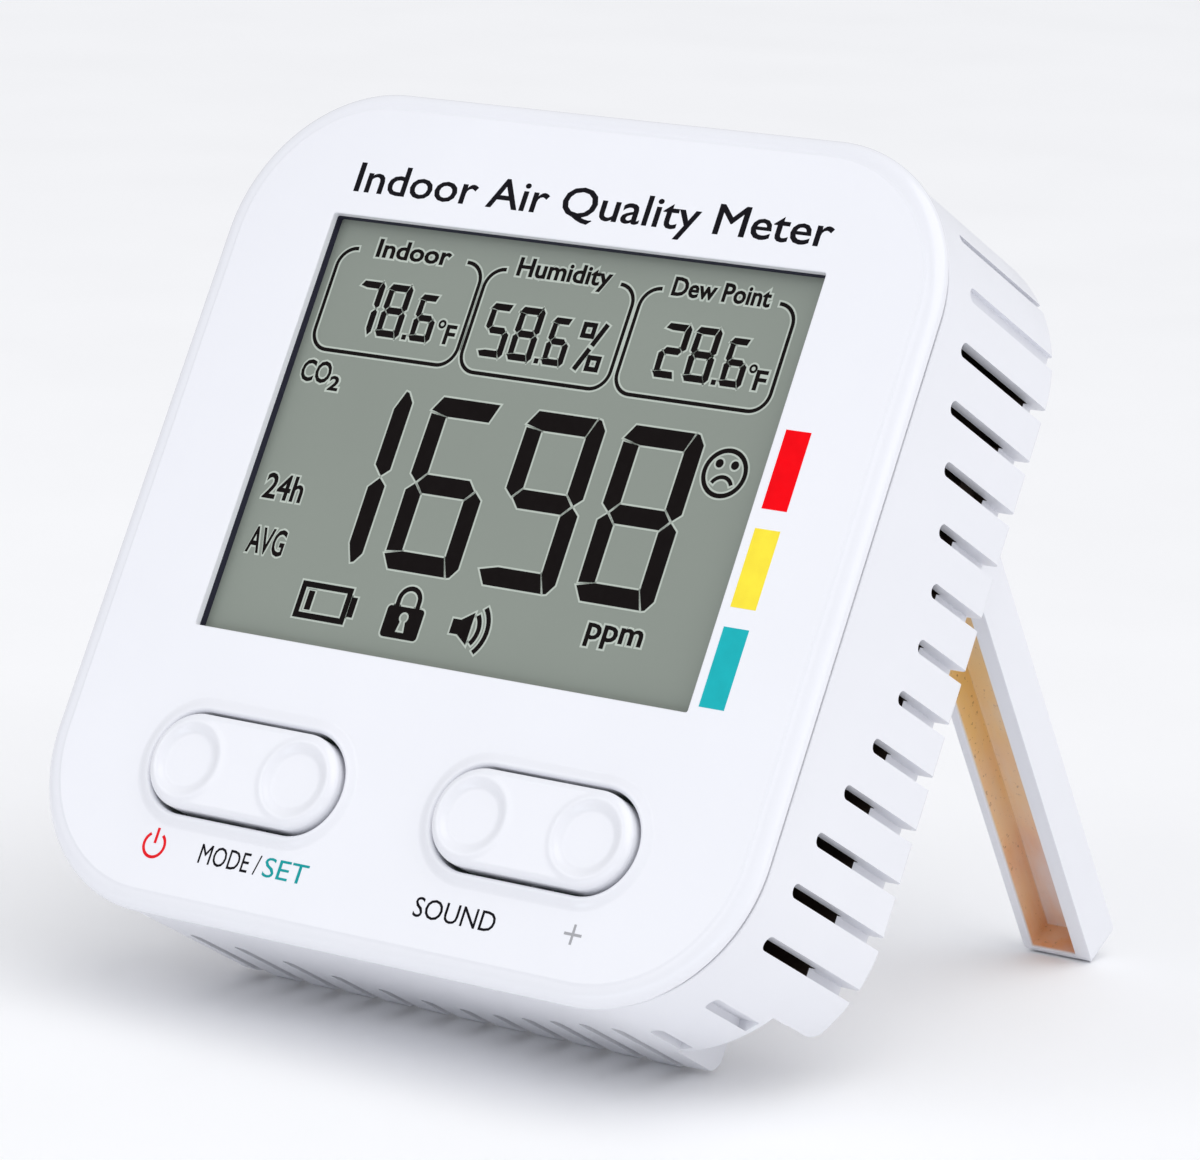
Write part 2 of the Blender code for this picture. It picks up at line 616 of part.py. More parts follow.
def leg(side, material, floor):
    """U-section leg, drawn folded with its pivot at the origin and turned open about X."""
    name = "leg_left" if side < 0 else "leg_right"
    back = CASE_DEPTH - LEG_PIVOT_Y
    front = back - LEG_THICKNESS
    half = LEG_WIDTH / 2
    mesh = box(name, (-half, front, -LEG_LENGTH), (half, back, LEG_HEEL))
    bm = bmesh.new()
    bm.from_mesh(mesh)
    toe = [edge for edge in bm.edges
           if all(vert.co.z < -LEG_LENGTH + 1e-6 for vert in edge.verts)
           and abs(edge.verts[0].co.y - edge.verts[1].co.y) < 1e-6]
    bmesh.ops.bevel(bm, geom=toe, offset=FOOT_ROUND, segments=3, profile=0.5, affect="EDGES")
    bm.to_mesh(mesh)
    bm.free()
    place = (side * LEG_X, LEG_PIVOT_Y, LEG_PIVOT_Z)
    turn = (math.radians(LEG_OPEN_DEG), 0, 0)
    obj = add_part(name, mesh, material, place, turn)
    pin_reach = half + LEG_PIN_LENGTH
    pin = cylinders(name + "_pins", LEG_PIN_RADIUS, [((-pin_reach, 0, 0), (pin_reach, 0, 0))], 16)
    join(obj, add_guide(name + "_pins", pin, place, turn))
    rim = (LEG_WIDTH - CHANNEL_WIDTH) / 2
    channel = box(name + "_channel", (-CHANNEL_WIDTH / 2, front - SPARE, -LEG_LENGTH + rim),
                  (CHANNEL_WIDTH / 2, front + CHANNEL_DEPTH, CHANNEL_TOP_Z))
    cut(obj, add_guide(name + "_channel", channel, place, turn))
    cut(obj, floor)
    return obj


# ---------------------------------------------------------------- buttons

def rocker(side, material):
    """Pill-shaped rocker with a finger dish at each end, drawn about its rocking axis."""
    name = "rocker_left" if side < 0 else "rocker_right"
    place = (side * ROCKER_X, ROCKER_AXIS_Y, ROCKER_Z)
    length = OPENING_LENGTH - 2 * CAP_CLEARANCE
    height = OPENING_HEIGHT - 2 * CAP_CLEARANCE
    front = -CAP_PROUD - ROCKER_AXIS_Y
    back = CAP_BACK - ROCKER_AXIS_Y
    mesh = slab(name, [pill_outline(length, height, (0, 0))], front, back)
    round_rim(mesh, front, CAP_EDGE, 2)
    cap = add_part(name, mesh, material, place)
    ring = [pill_outline(length - 2 * offset, height - 2 * offset, (0, 0))
            for offset in (SKIRT_INSET, ROCKER_WALL)]
    skirt = slab(name + "_skirt", ring, back - OVERLAP, SKIRT_BACK - ROCKER_AXIS_Y)
    join(cap, add_guide(name + "_skirt", skirt, place))
    hub_half = height / 2 - 3 * SKIRT_INSET
    hub = box(name + "_hub", (-HUB_HALF_WIDTH, back - OVERLAP, -hub_half),
              (HUB_HALF_WIDTH, HUB_BACK, hub_half))
    join(cap, add_guide(name + "_hub", hub, place))
    pins = cylinders(name + "_pins", ROCKER_PIN_RADIUS,
                     [((0, 0, -ROCKER_PIN_REACH), (0, 0, ROCKER_PIN_REACH))], 12)
    join(cap, add_guide(name + "_pins", pins, place))
    ends = [((x, back - OVERLAP, 0), (x, PRESSER_END_Y - ROCKER_AXIS_Y, 0)) for x in (-SWITCH_X, SWITCH_X)]
    pressers = cylinders(name + "_pressers", PRESSER_RADIUS, ends, 12)
    join(cap, add_guide(name + "_pressers", pressers, place))
    ball = (DISH_RADIUS ** 2 + DISH_DEPTH ** 2) / (2 * DISH_DEPTH)
    bm = bmesh.new()
    for end in (-1, 1):
        centre = Matrix.Translation((end * DISH_X, front + DISH_DEPTH - ball, 0))
        turn = Matrix.Rotation(math.pi / 2, 4, "X")
        bmesh.ops.create_uvsphere(bm, u_segments=20, v_segments=40, radius=ball, matrix=centre @ turn)
    cut_away = [vert for vert in bm.verts if vert.co.y < front - 1 * MM]
    bmesh.ops.delete(bm, geom=cut_away, context="VERTS")
    bmesh.ops.holes_fill(bm, edges=[edge for edge in bm.edges if edge.is_boundary])
    bmesh.ops.recalc_face_normals(bm, faces=bm.faces)
    dishes = mesh_from(bm, name + "_dishes")
    cut(cap, add_guide(name + "_dishes", dishes, place))
    return cap


def tact_switch(name, x, material):
    low = (x - SWITCH_HALF, SWITCH_FRONT_Y, ROCKER_Z - SWITCH_HALF)
    high = (x + SWITCH_HALF, BOARD_FRONT - GAP, ROCKER_Z + SWITCH_HALF)
    switch = add_part(name, box(name, low, high), material)
    plunger = cylinders(name + "_plunger", PLUNGER_RADIUS,
                        [((x, PLUNGER_FRONT_Y, ROCKER_Z), (x, SWITCH_FRONT_Y + OVERLAP, ROCKER_Z))], 12)
    join(switch, add_guide(name + "_plunger", plunger))
    return switch


# ---------------------------------------------------------------- display and electronics

def lcd_glass(material):
    half_w, half_h = GLASS_WIDTH / 2, GLASS_HEIGHT / 2
    mesh = box("lcd_glass", (-half_w, GLASS_FRONT, WINDOW_Z - half_h),
               (half_w, GLASS_FRONT + GLASS_DEPTH, WINDOW_Z + half_h))
    return add_part("lcd_glass", mesh, material)


def lcd_holder(material):
    """Frame round the glass with a flange behind it."""
    centre = (0, WINDOW_Z)
    rim = 2 * (GAP + HOLDER_WALL)
    outer = rounded_outline(GLASS_WIDTH + rim, GLASS_HEIGHT + rim, 1.0 * MM, centre, 2)
    mouth = rounded_outline(GLASS_WIDTH + 2 * GAP, GLASS_HEIGHT + 2 * GAP, GAP, centre, 1)
    frame = slab("lcd_holder", [outer, mouth], GLASS_FRONT, BOARD_FRONT - GAP)
    holder = add_part("lcd_holder", frame, material)
    flange_hole = rounded_outline(GLASS_WIDTH - 6 * MM, GLASS_HEIGHT - 4 * MM, 1.0 * MM, centre, 2)
    flange_rim = rounded_outline(GLASS_WIDTH + 2 * MM, GLASS_HEIGHT + 2 * MM, 0.5 * MM, centre, 1)
    back = GLASS_FRONT + GLASS_DEPTH + GAP
    flange = slab("holder_flange", [flange_rim, flange_hole], back, BOARD_FRONT - 1.5 * GAP)
    join(holder, add_guide("holder_flange", flange))
    return holder


def zebra_strip(material):
    back = GLASS_FRONT + GLASS_DEPTH + GAP
    z = WINDOW_Z - GLASS_HEIGHT / 2 + 4.5 * MM
    mesh = box("zebra_strip", (-STRIP_HALF_LENGTH, back, z - STRIP_HALF_WIDTH),
               (STRIP_HALF_LENGTH, BOARD_FRONT - GAP, z + STRIP_HALF_WIDTH))
    return add_part("zebra_strip", mesh, material)


def main_board(material):
    height = BOARD_TOP_Z - BOARD_BOTTOM_Z
    outline = rounded_outline(BOARD_WIDTH, height, BOARD_CORNER, (0, (BOARD_TOP_Z + BOARD_BOTTOM_Z) / 2), 3)
    board = add_part("main_board", slab("main_board", [outline], BOARD_FRONT, BOARD_BACK), material)
    holes = [((x, BOARD_FRONT - SPARE, z), (x, BOARD_BACK + SPARE, z)) for x, z in mirrored(BOARD_SCREWS)]
    cut(board, add_guide("board_holes", cylinders("board_holes", BOARD_HOLE_RADIUS, holes, 12)))
    return board


def disc_profile(radius, thickness):
    return [(0, thickness), (radius, thickness), (radius, 0), (0, 0)]


def board_chips(black, white):
    """Microcontroller, buzzer and humidity sensor on the back of the board."""
    seat = BOARD_BACK + GAP
    chip = box("microcontroller", (-24 * MM, seat, -2 * MM), (-12 * MM, seat + 1.6 * MM, 10 * MM))
    add_part("microcontroller", chip, black)
    profile = disc_profile(4.8 * MM, 3.6 * MM)
    turned("buzzer", profile, black, (10 * MM, seat, -38 * MM), FACING_BACK)
    sensor = box("humidity_sensor", (36.5 * MM, seat, -13 * MM), (40.5 * MM, seat + 1.2 * MM, -9 * MM))
    add_part("humidity_sensor", sensor, white)


def co2_sensor(board_green, gold, membrane, black):
    """Infrared gas sensor: header, board, gas chamber and the filter over its inlet."""
    middle_z = (SENSOR_BOTTOM_Z + SENSOR_TOP_Z) / 2
    seat = BOARD_BACK + GAP
    header = box("co2_sensor_header", (-12 * MM, seat, 33 * MM), (12 * MM, seat + HEADER_HEIGHT, 35.5 * MM))
    add_part("co2_sensor_header", header, black)
    board_y = seat + HEADER_HEIGHT + GAP
    board = box("co2_sensor_board", (-SENSOR_HALF_WIDTH, board_y, SENSOR_BOTTOM_Z),
                (SENSOR_HALF_WIDTH, board_y + SENSOR_BOARD_THICKNESS, SENSOR_TOP_Z))
    add_part("co2_sensor_board", board, board_green)
    chamber_y = board_y + SENSOR_BOARD_THICKNESS + GAP
    outline = rounded_outline(CHAMBER_WIDTH, CHAMBER_HEIGHT, 2 * MM, (0, middle_z), 2)
    chamber = slab("co2_sensor_chamber", [outline], chamber_y, chamber_y + CHAMBER_DEPTH)
    round_rim(chamber, chamber_y + CHAMBER_DEPTH, 1.0 * MM, 1)
    add_part("co2_sensor_chamber", chamber, gold)
    place = (5 * MM, chamber_y + CHAMBER_DEPTH + GAP, middle_z)
    turned("co2_sensor_filter", disc_profile(FILTER_RADIUS, FILTER_THICKNESS), membrane, place, FACING_BACK)


# ---------------------------------------------------------------- batteries

def cells(jacket, steel):
    """Four AA cells in series, each one upside down to the next, with a spring at its flat end."""
    tray_middle = (TRAY_TOP_Z + TRAY_BOTTOM_Z) / 2
    tray_half = (TRAY_TOP_Z - TRAY_BOTTOM_Z) / 2
    nub_gap = 2 * GAP + PLATE_THICKNESS
    half = CELL_LENGTH / 2
    shoulder = half - NUB_HEIGHT
    profile = [(0, half), (NUB_RADIUS, half), (NUB_RADIUS, shoulder), (CELL_RADIUS - CELL_EDGE, shoulder),
               (CELL_RADIUS, shoulder - CELL_EDGE), (CELL_RADIUS, -half), (0, -half)]
    for number in range(4):
        x = (number - 1.5) * CELL_PITCH
        up = 1 if number % 2 == 0 else -1
        z = tray_middle + up * (tray_half - nub_gap - half)
        turn = (0, 0, 0) if up > 0 else (math.pi, 0, 0)
        turned("battery_%d" % (number + 1), profile, jacket, (x, CELL_Y, z), turn)
        spring_start = tray_middle - up * (tray_half - nub_gap - SPRING_WIRE_RADIUS)
        spring_end = z - up * (half + GAP + SPRING_WIRE_RADIUS)
        add_spring("battery_spring_%d" % (number + 1), x, spring_start, spring_end, steel)


def add_spring(name, x, start, end, steel):
    """Conical contact spring that narrows towards the cell."""
    turns, per_turn = 3, 10
    points = []
    for step in range(turns * per_turn + 1):
        share = step / (turns * per_turn)
        angle = 2 * math.pi * step / per_turn
        radius = SPRING_BASE_RADIUS + (SPRING_TIP_RADIUS - SPRING_BASE_RADIUS) * share
        points.append((x + radius * math.cos(angle), CELL_Y + radius * math.sin(angle),
                       start + (end - start) * share))
    wire(name, points, SPRING_WIRE_RADIUS, steel)


def contact_plates(steel):
    """Two links at the bottom, one at the top, and the two end terminals."""
    rows = (("contact_link_1_2", 0, 1, False), ("contact_link_3_4", 2, 3, False),
            ("contact_link_2_3", 1, 2, True), ("contact_positive", 0, 0, True),
            ("contact_negative", 3, 3, True))
    for name, first, last, at_top in rows:
        left = (first - 1.5) * CELL_PITCH - PLATE_MARGIN
        right = (last - 1.5) * CELL_PITCH + PLATE_MARGIN
        low = TRAY_TOP_Z - GAP - PLATE_THICKNESS if at_top else TRAY_BOTTOM_Z + GAP
        mesh = box(name, (left, CELL_Y - PLATE_HALF_HEIGHT, low),
                   (right, CELL_Y + PLATE_HALF_HEIGHT, low + PLATE_THICKNESS))
        add_part(name, mesh, steel)


def battery_leads(red, black):
    """Two short wires that arch from the tray's top wall to the back of the board."""
    start_y = CELL_Y - 3 * MM
    start_z = TRAY_TOP_Z + TRAY_WALL + GAP
    rise, steps = 9 * MM, 12
    for name, x, material in (("battery_lead_red", -25 * MM, red), ("battery_lead_black", 25 * MM, black)):
        ends = (Vector((x, start_y, start_z)), Vector((x, start_y, start_z + rise)),
                Vector((x, BOARD_BACK + 7 * MM, start_z + rise)),
                Vector((x, BOARD_BACK + GAP, start_z + rise - 2 * MM)))
        points = []
        for step in range(steps + 1):
            t = step / steps
            weights = ((1 - t) ** 3, 3 * t * (1 - t) ** 2, 3 * t * t * (1 - t), t ** 3)
            points.append(sum((weight * end for weight, end in zip(weights, ends)), Vector()))
        wire(name, points, LEAD_RADIUS, material)


# ---------------------------------------------------------------- fasteners

def screw_profile(head_radius, head_height, shank_radius, length):
    """A pan head with a coned top and a shank with a blunt point, its seat at height 0."""
    crown = head_radius * 0.6
    tip = shank_radius * 0.6
    return [(0, head_height), (crown, head_height), (head_radius, head_height / 2), (head_radius, 0),
            (shank_radius, 0), (shank_radius, tip - length), (0, -length)]


def screws(steel):
    """Case screws from the rear, board screws from behind the board."""
    profile = screw_profile(2.8 * MM, 2.0 * MM, 1.45 * MM, 8.4 * MM)
    for number, (x, z) in enumerate(mirrored(CASE_SCREWS), 1):
        place = (x, CASE_SCREW_SEAT_Y + GAP, z)
        turned("case_screw_%d" % number, profile, steel, place, FACING_BACK, 16)
    profile = screw_profile(2.2 * MM, 1.5 * MM, 1.1 * MM, 4.9 * MM)
    for number, (x, z) in enumerate(mirrored(BOARD_SCREWS), 1):
        place = (x, BOARD_BACK + GAP, z)
        turned("board_screw_%d" % number, profile, steel, place, FACING_BACK, 12)


def centre_on_floor():
    """Shifts the stance along Y so that the whole object's box is centred on the origin."""
    bpy.context.view_layer.update()
    depsgraph = bpy.context.evaluated_depsgraph_get()
    depths = []
    for obj in parts.objects:
        solid = obj.evaluated_get(depsgraph)
        mesh = solid.to_mesh()
        depths += [(solid.matrix_world @ vert.co).y for vert in mesh.vertices]
        solid.to_mesh_clear()
    stance.location.y -= (min(depths) + max(depths)) / 2
    bpy.context.view_layer.update()


clear_scene()
parts = make_collection("carbon_dioxide_monitor")
cutters = make_collection("cutters")
lean_angle, stance_height = stance_numbers()
stance = bpy.data.objects.new("stance", None)
bpy.context.scene.collection.objects.link(stance)
stance.rotation_euler = (-lean_angle, 0, 0)
stance.location = (0, 0, stance_height)

gloss_white = make_material("gloss_white", WHITE, 0.18)
satin_white = make_material("satin_white", WHITE, 0.42)
display_grey = make_material("display_grey", (0.30, 0.33, 0.28), 0.25)
black_plastic = make_material("black_plastic", (0.03, 0.03, 0.03), 0.45)
board_green = make_material("board_green", (0.02, 0.16, 0.06), 0.4)
elastomer_pink = make_material("elastomer_pink", (0.55, 0.25, 0.25), 0.7)
chamber_gold = make_material("chamber_gold", (0.83, 0.62, 0.25), 0.25, 1.0)
membrane_white = make_material("membrane_white", (0.85, 0.85, 0.82), 0.9)
spring_steel = make_material("spring_steel", (0.65, 0.65, 0.66), 0.3, 1.0)
screw_steel = make_material("screw_steel", (0.35, 0.35, 0.36), 0.35, 1.0)
cell_jacket = make_material("cell_jacket", (0.10, 0.22, 0.42), 0.35)
lead_red = make_material("lead_red", (0.7, 0.03, 0.03), 0.5)
lead_black = make_material("lead_black", (0.02, 0.02, 0.02), 0.5)

ground = floor_cutter(lean_angle, stance_height)
rear_shell(satin_white, ground)
front_bezel(gloss_white)
battery_cover(satin_white)
lcd_glass(display_grey)
lcd_holder(black_plastic)
zebra_strip(elastomer_pink)
main_board(board_green)
board_chips(black_plastic, membrane_white)
co2_sensor(board_green, chamber_gold, membrane_white, black_plastic)
for side in (-1, 1):
    leg(side, satin_white, ground)
    rocker(side, gloss_white)
for rocker_x, names in ((-ROCKER_X, ("power", "set")), (ROCKER_X, ("mute", "up"))):
    for end, switch_name in zip((-1, 1), names):
        tact_switch("tact_switch_" + switch_name, rocker_x + end * SWITCH_X, black_plastic)
cells(cell_jacket, spring_steel)
contact_plates(spring_steel)
battery_leads(lead_red, lead_black)
screws(screw_steel)
centre_on_floor()
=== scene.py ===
"""Looks of the desktop carbon dioxide monitor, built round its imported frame.

The case leans back, so its pieces are drawn in the case's own frame: X to the right, Y into the depth
of the case from its front face, Z up the face, with the origin at the middle of the front face.
"""
import json
import math

import bmesh
import bpy
from mathutils import Matrix, Vector


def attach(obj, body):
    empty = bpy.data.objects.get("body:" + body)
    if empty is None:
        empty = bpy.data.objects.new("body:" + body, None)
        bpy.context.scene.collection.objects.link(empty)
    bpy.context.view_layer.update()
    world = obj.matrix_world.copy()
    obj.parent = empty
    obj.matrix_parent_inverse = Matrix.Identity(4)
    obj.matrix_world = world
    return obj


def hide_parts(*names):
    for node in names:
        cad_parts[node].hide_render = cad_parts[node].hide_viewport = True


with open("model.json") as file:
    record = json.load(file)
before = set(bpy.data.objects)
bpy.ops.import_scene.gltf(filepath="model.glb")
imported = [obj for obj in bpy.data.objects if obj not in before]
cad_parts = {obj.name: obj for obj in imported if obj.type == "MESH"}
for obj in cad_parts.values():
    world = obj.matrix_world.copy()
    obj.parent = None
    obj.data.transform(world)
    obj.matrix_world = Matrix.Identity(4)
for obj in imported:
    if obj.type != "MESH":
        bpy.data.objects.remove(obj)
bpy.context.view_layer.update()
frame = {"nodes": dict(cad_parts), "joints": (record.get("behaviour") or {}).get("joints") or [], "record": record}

MM = 0.001

# Places that the frame gives in the case's own terms
ROCKER_X = 22.0 * MM
ROCKER_Z = -35.8 * MM
ROCKER_AXIS_Y = 4.2 * MM

# Case
FACE_WIDTH = 108.0 * MM
FACE_HEIGHT = 110.5 * MM
FACE_CORNER = 21.0 * MM
CASE_DEPTH = 32.0 * MM
BEZEL_THICKNESS = 1.8 * MM
BEZEL_ROUND = 2.2 * MM
BEZEL_ROUND_DEPTH = 1.5 * MM
BEZEL_STEP = 0.12 * MM
BEZEL_OVERHANG = 0.5 * MM
WALL = 2.0 * MM
GAP = 0.3 * MM
REAR_EDGE = 1.2 * MM
SHELL_WIDTH = FACE_WIDTH - 2 * BEZEL_OVERHANG
SHELL_HEIGHT = FACE_HEIGHT - 2 * BEZEL_OVERHANG
SHELL_CORNER = FACE_CORNER - BEZEL_OVERHANG
FACE = (FACE_WIDTH, FACE_HEIGHT, FACE_CORNER)
SHELL = (SHELL_WIDTH, SHELL_HEIGHT, SHELL_CORNER)
SHELL_FRONT = BEZEL_THICKNESS + GAP
REAR_INSIDE = CASE_DEPTH - WALL
SEAM_INSET = 0.95 * MM
SEAM_BACK_Y = 2.95 * MM
LIP_THICKNESS = 1.4 * MM
LIP_BACK_Y = 4.6 * MM

# Display
WINDOW_WIDTH = 75.0 * MM
WINDOW_HEIGHT = 56.25 * MM
WINDOW_CORNER = 0.3 * MM
WINDOW_Z = 9.8 * MM
WINDOW_LIP = 1.0 * MM
GLASS_Y = 2.1 * MM

# Rocker buttons
OPENING_LENGTH = 29.8 * MM
OPENING_HEIGHT = 13.4 * MM
CAP_CLEARANCE = 0.5 * MM
CAP_PROUD = 1.5 * MM
CAP_BACK = 0.7 * MM
SKIRT_BACK = 2.2 * MM
SKIRT_INSET = 0.1 * MM
ROCKER_WALL = 1.2 * MM
ROCKER_PIN_RADIUS = 0.9 * MM
ROCKER_PIN_REACH = 9.2 * MM
HUB_HALF_WIDTH = 1.5 * MM
HUB_BACK = 1.2 * MM
SWITCH_X = 10.0 * MM
PRESSER_RADIUS = 1.8 * MM
PRESSER_END_Y = 2.0 * MM
OVERLAP = 0.4 * MM
DISH_X = 8.4 * MM
DISH_RADIUS = 4.7 * MM
DISH_WALL = 1.3 * MM
DISH_FLOOR_DEPTH = 0.42 * MM
DISH_RING_PROUD = 0.13 * MM
CAP_ROUND = 0.9 * MM
RIM_WIDTH = 1.9 * MM
RIM_PROUD = 0.35 * MM
RIM_ROUND = 0.45 * MM
COLLAR_WALL = 0.8 * MM
COLLAR_BACK_Y = 6.3 * MM

# Vent slots
SLOT_WIDTH = 1.8 * MM
SLOT_DEPTH = 2.6 * MM
BLIND_DEPTH = 1.3 * MM
FIRST_BLIND_SLOT = 6
TOP_SLOT_WIDTH = 0.9 * MM
CORNER_SLOT_WIDTH = 1.3 * MM
SIDE_PITCH = 6.85 * MM
SIDE_CENTRE_Z = -0.6 * MM
SIDE_SLOTS_UP = 7
SIDE_SLOTS_DOWN = 6
SIDE_SPAN = 37.5 * MM
SIDE_FRONT_Y = 8.5 * MM
SIDE_SWELL = 5.33 * MM
END_PITCH = 5.9 * MM
END_SLOTS_EACH_WAY = 6
END_SPAN = 38.35 * MM
END_MIDDLE_Y = 18.3 * MM
END_SWELL = 5.7 * MM
CORNER_SLOT_Z = -49.8 * MM
CORNER_SLOT_X = 38.35 * MM
CORNER_SLOT_END_Y = 20.4 * MM

# Legs and their grooves
LEG_X = 42.3 * MM
LEG_WIDTH = 10.2 * MM
LEG_THICKNESS = 6.4 * MM
LEG_PIVOT_Y = 28.7 * MM
LEG_PIVOT_Z = 21.6 * MM
LEG_LENGTH = 77.0 * MM
LEG_HEEL = 2.3 * MM
LEG_OPEN_DEG = 59.4
LEG_PIN_RADIUS = 1.6 * MM
LEG_PIN_LENGTH = 1.6 * MM
LEG_SOCKET_DEPTH = 1.3 * MM
FOOT_ROUND = 1.9 * MM
CHANNEL_SHIFT = 0.5 * MM
CHANNEL_WIDTH = 6.6 * MM
CHANNEL_DEPTH = 4.6 * MM
CHANNEL_TOP_Z = -6.0 * MM
GROOVE_WIDTH = 11.8 * MM
GROOVE_FLOOR_Y = 24.8 * MM
GROOVE_TOP_Z = LEG_PIVOT_Z + 5.2 * MM
GROOVE_WALL = 1.0 * MM
GROOVE_SIDE_WALL = 3.4 * MM
MOUTH_ROUND = 0.4 * MM
UPPER_SIDE_WALL = 1.4 * MM
DEEP_SLOTS_Z = 16.5 * MM
DEEP_SLOTS_END_Y = 27.6 * MM
NOTCH_FLOOR_Y = 21.3 * MM
NOTCH_TOP_Z = -44.5 * MM

# Battery tray and case screws
CELL_PITCH = 15.0 * MM
NUB_RADIUS = 2.7 * MM
NUB_HEIGHT = 1.2 * MM
FILM_EDGE = 6.0 * MM
FILM_BAND_Z = 13.0 * MM
TRAY_HALF_WIDTH = 31.0 * MM
TRAY_BOTTOM_Z = -31.0 * MM
TRAY_TOP_Z = 27.0 * MM
TRAY_FLOOR_Y = 14.3 * MM
TRAY_WALL = 3.0 * MM
COVER_LEDGE = 1.5 * MM
COVER_THICKNESS = 1.6 * MM
CASE_SCREWS = ((45.3 * MM, 41.5 * MM), (30.0 * MM, -48.0 * MM))
POST_RADIUS = 3.5 * MM
POST_END_Y = 12.0 * MM
SCREW_SEAT_Y = POST_END_Y + 2.3 * MM
SHANK_HOLE = 1.8 * MM
HEAD_HOLE = 3.1 * MM

# Walls with rounded lower rear corners: from and to X, bottom Z, radius
ROUNDED_CORNERS = ((32.45 * MM, 36.5 * MM, -54.75 * MM, 3.2 * MM),
                   (48.1 * MM, 56.0 * MM, -48.0 * MM, 2.8 * MM))

# How far the cutters reach past the case
SPARE = 3.0 * MM
BELOW_CASE_Z = -60.0 * MM
BEHIND_CASE_Y = 40.0 * MM

# Camera, as the photographer stood: angles in degrees, distances in metres
CAMERA_AZIMUTH = 35.41
CAMERA_ELEVATION = 12.03
CAMERA_ROLL = 0.97
CAMERA_DISTANCE = 0.69024
CAMERA_AIM = (0.00076, -0.00013, 0.05213)
CAMERA_LENS = 164.2
CAMERA_SENSOR = 36.0


# ---- the case's own frame

def joint(name):
    return next(row for row in frame["joints"] if row["name"] == name)


def case_frame():
    """Matrix from the case's own frame to the world, read from the frame's joints."""
    press = joint("rocker_right_press")
    depth = Vector(joint("battery_cover_off")["axis"]).normalized()
    up = Vector(press["axis"]).normalized()
    right = depth.cross(up)
    origin = Vector(press["pos_m"]) - right * ROCKER_X - depth * ROCKER_AXIS_Y - up * ROCKER_Z
    return Matrix.Translation(origin) @ Matrix((right, depth, up)).transposed().to_4x4()


CASE = case_frame()


# ---- shapes

def mesh_from(bm, name):
    mesh = bpy.data.meshes.new(name)
    bm.to_mesh(mesh)
    bm.free()
    return mesh


def box(name, low, high):
    low, high = Vector(low), Vector(high)
    bm = bmesh.new()
    place = Matrix.Translation((low + high) / 2) @ Matrix.Diagonal((*(high - low), 1))
    bmesh.ops.create_cube(bm, size=1, matrix=place)
    return mesh_from(bm, name)


def cylinders(name, radius, ends, segments=32):
    """Round bars of one radius between pairs of end points."""
    bm = bmesh.new()
    for start, end in ends:
        start, end = Vector(start), Vector(end)
        turn = Vector((0, 0, 1)).rotation_difference(end - start).to_matrix().to_4x4()
        place = Matrix.Translation((start + end) / 2) @ turn
        bmesh.ops.create_cone(bm, cap_ends=True, segments=segments, radius1=radius, radius2=radius,
                              depth=(end - start).length, matrix=place)
    return mesh_from(bm, name)


def join_meshes(name, meshes):
    bm = bmesh.new()
    for mesh in meshes:
        bm.from_mesh(mesh)
        bpy.data.meshes.remove(mesh)
    return mesh_from(bm, name)


def boxes(name, corners):
    return join_meshes(name, [box("box", low, high) for low, high in corners])


def both_ways(centre, reach, axis="X"):
    """End points of a bar that reaches equally far both ways from its centre."""
    return [[place + sign * reach * (letter == axis) for place, letter in zip(centre, "XYZ")]
            for sign in (-1, 1)]


def circle(radius, centre, steps=48, start=0.0, turn=360.0):
    """Points round a circle, or along an arc of it with both its ends."""
    count = steps if turn == 360.0 else steps + 1
    angles = [math.radians(start + turn * i / steps) for i in range(count)]
    return [(centre[0] + radius * math.cos(angle), centre[1] + radius * math.sin(angle)) for angle in angles]


def quarter(steps):
    """Cosines and sines from 0 to 90 degrees."""
    return circle(1.0, (0.0, 0.0), steps, 0, 90)


def rounded_outline(size, inset=0.0, centre=(0.0, 0.0), steps=24):
    """Points anticlockwise round a rectangle of a width, height and corner radius, moved in by inset."""
    width, height, radius = size[0] - 2 * inset, size[1] - 2 * inset, size[2] - inset
    points = []
    for side, end, start in ((1, 1, 0), (-1, 1, 90), (-1, -1, 180), (1, -1, 270)):
        middle = (centre[0] + side * (width / 2 - radius), centre[1] + end * (height / 2 - radius))
        points += circle(radius, middle, steps, start, 90)
    return points


def flat_end(bm, ring):
    bm.faces.new(ring)


def stripped_end(bm, ring):
    """Closes a ring that is the same above and below its long middle line, with strips across that line."""
    half = len(ring) // 2
    bm.faces.new((ring[0], ring[1], ring[-1]))
    for i in range(1, half - 1):
        bm.faces.new((ring[i], ring[i + 1], ring[-i - 1], ring[-i]))
    bm.faces.new((ring[half - 1], ring[half], ring[half + 1]))


def loft(name, rings, close_end=flat_end):
    """Faces between rings of equally many points, with closed ends or, without them, joined into a loop."""
    bm = bmesh.new()
    rows = [[bm.verts.new(point) for point in ring] for ring in rings]
    pairs = list(zip(rows, rows[1:]))
    if not close_end:
        pairs.append((rows[-1], rows[0]))
    for near, far in pairs:
        for i in range(len(near)):
            j = (i + 1) % len(near)
            bm.faces.new((near[i], near[j], far[j], far[i]))
    if close_end:
        close_end(bm, rows[0])
        close_end(bm, rows[-1])
    bmesh.ops.recalc_face_normals(bm, faces=bm.faces)
    return mesh_from(bm, name)


def edge_profile(low, high, low_round, high_round, steps=6):
    """Depth and inset pairs along a plate's side, with rounded edges of (width, depth) at both ends."""
    low_width, low_depth = low_round
    high_width, high_depth = high_round
    profile = [(low + low_depth * (1 - cos), low_width * (1 - sin)) for cos, sin in quarter(steps)]
    return profile + [(high - high_depth * (1 - sin), high_width * (1 - cos)) for cos, sin in quarter(steps)]


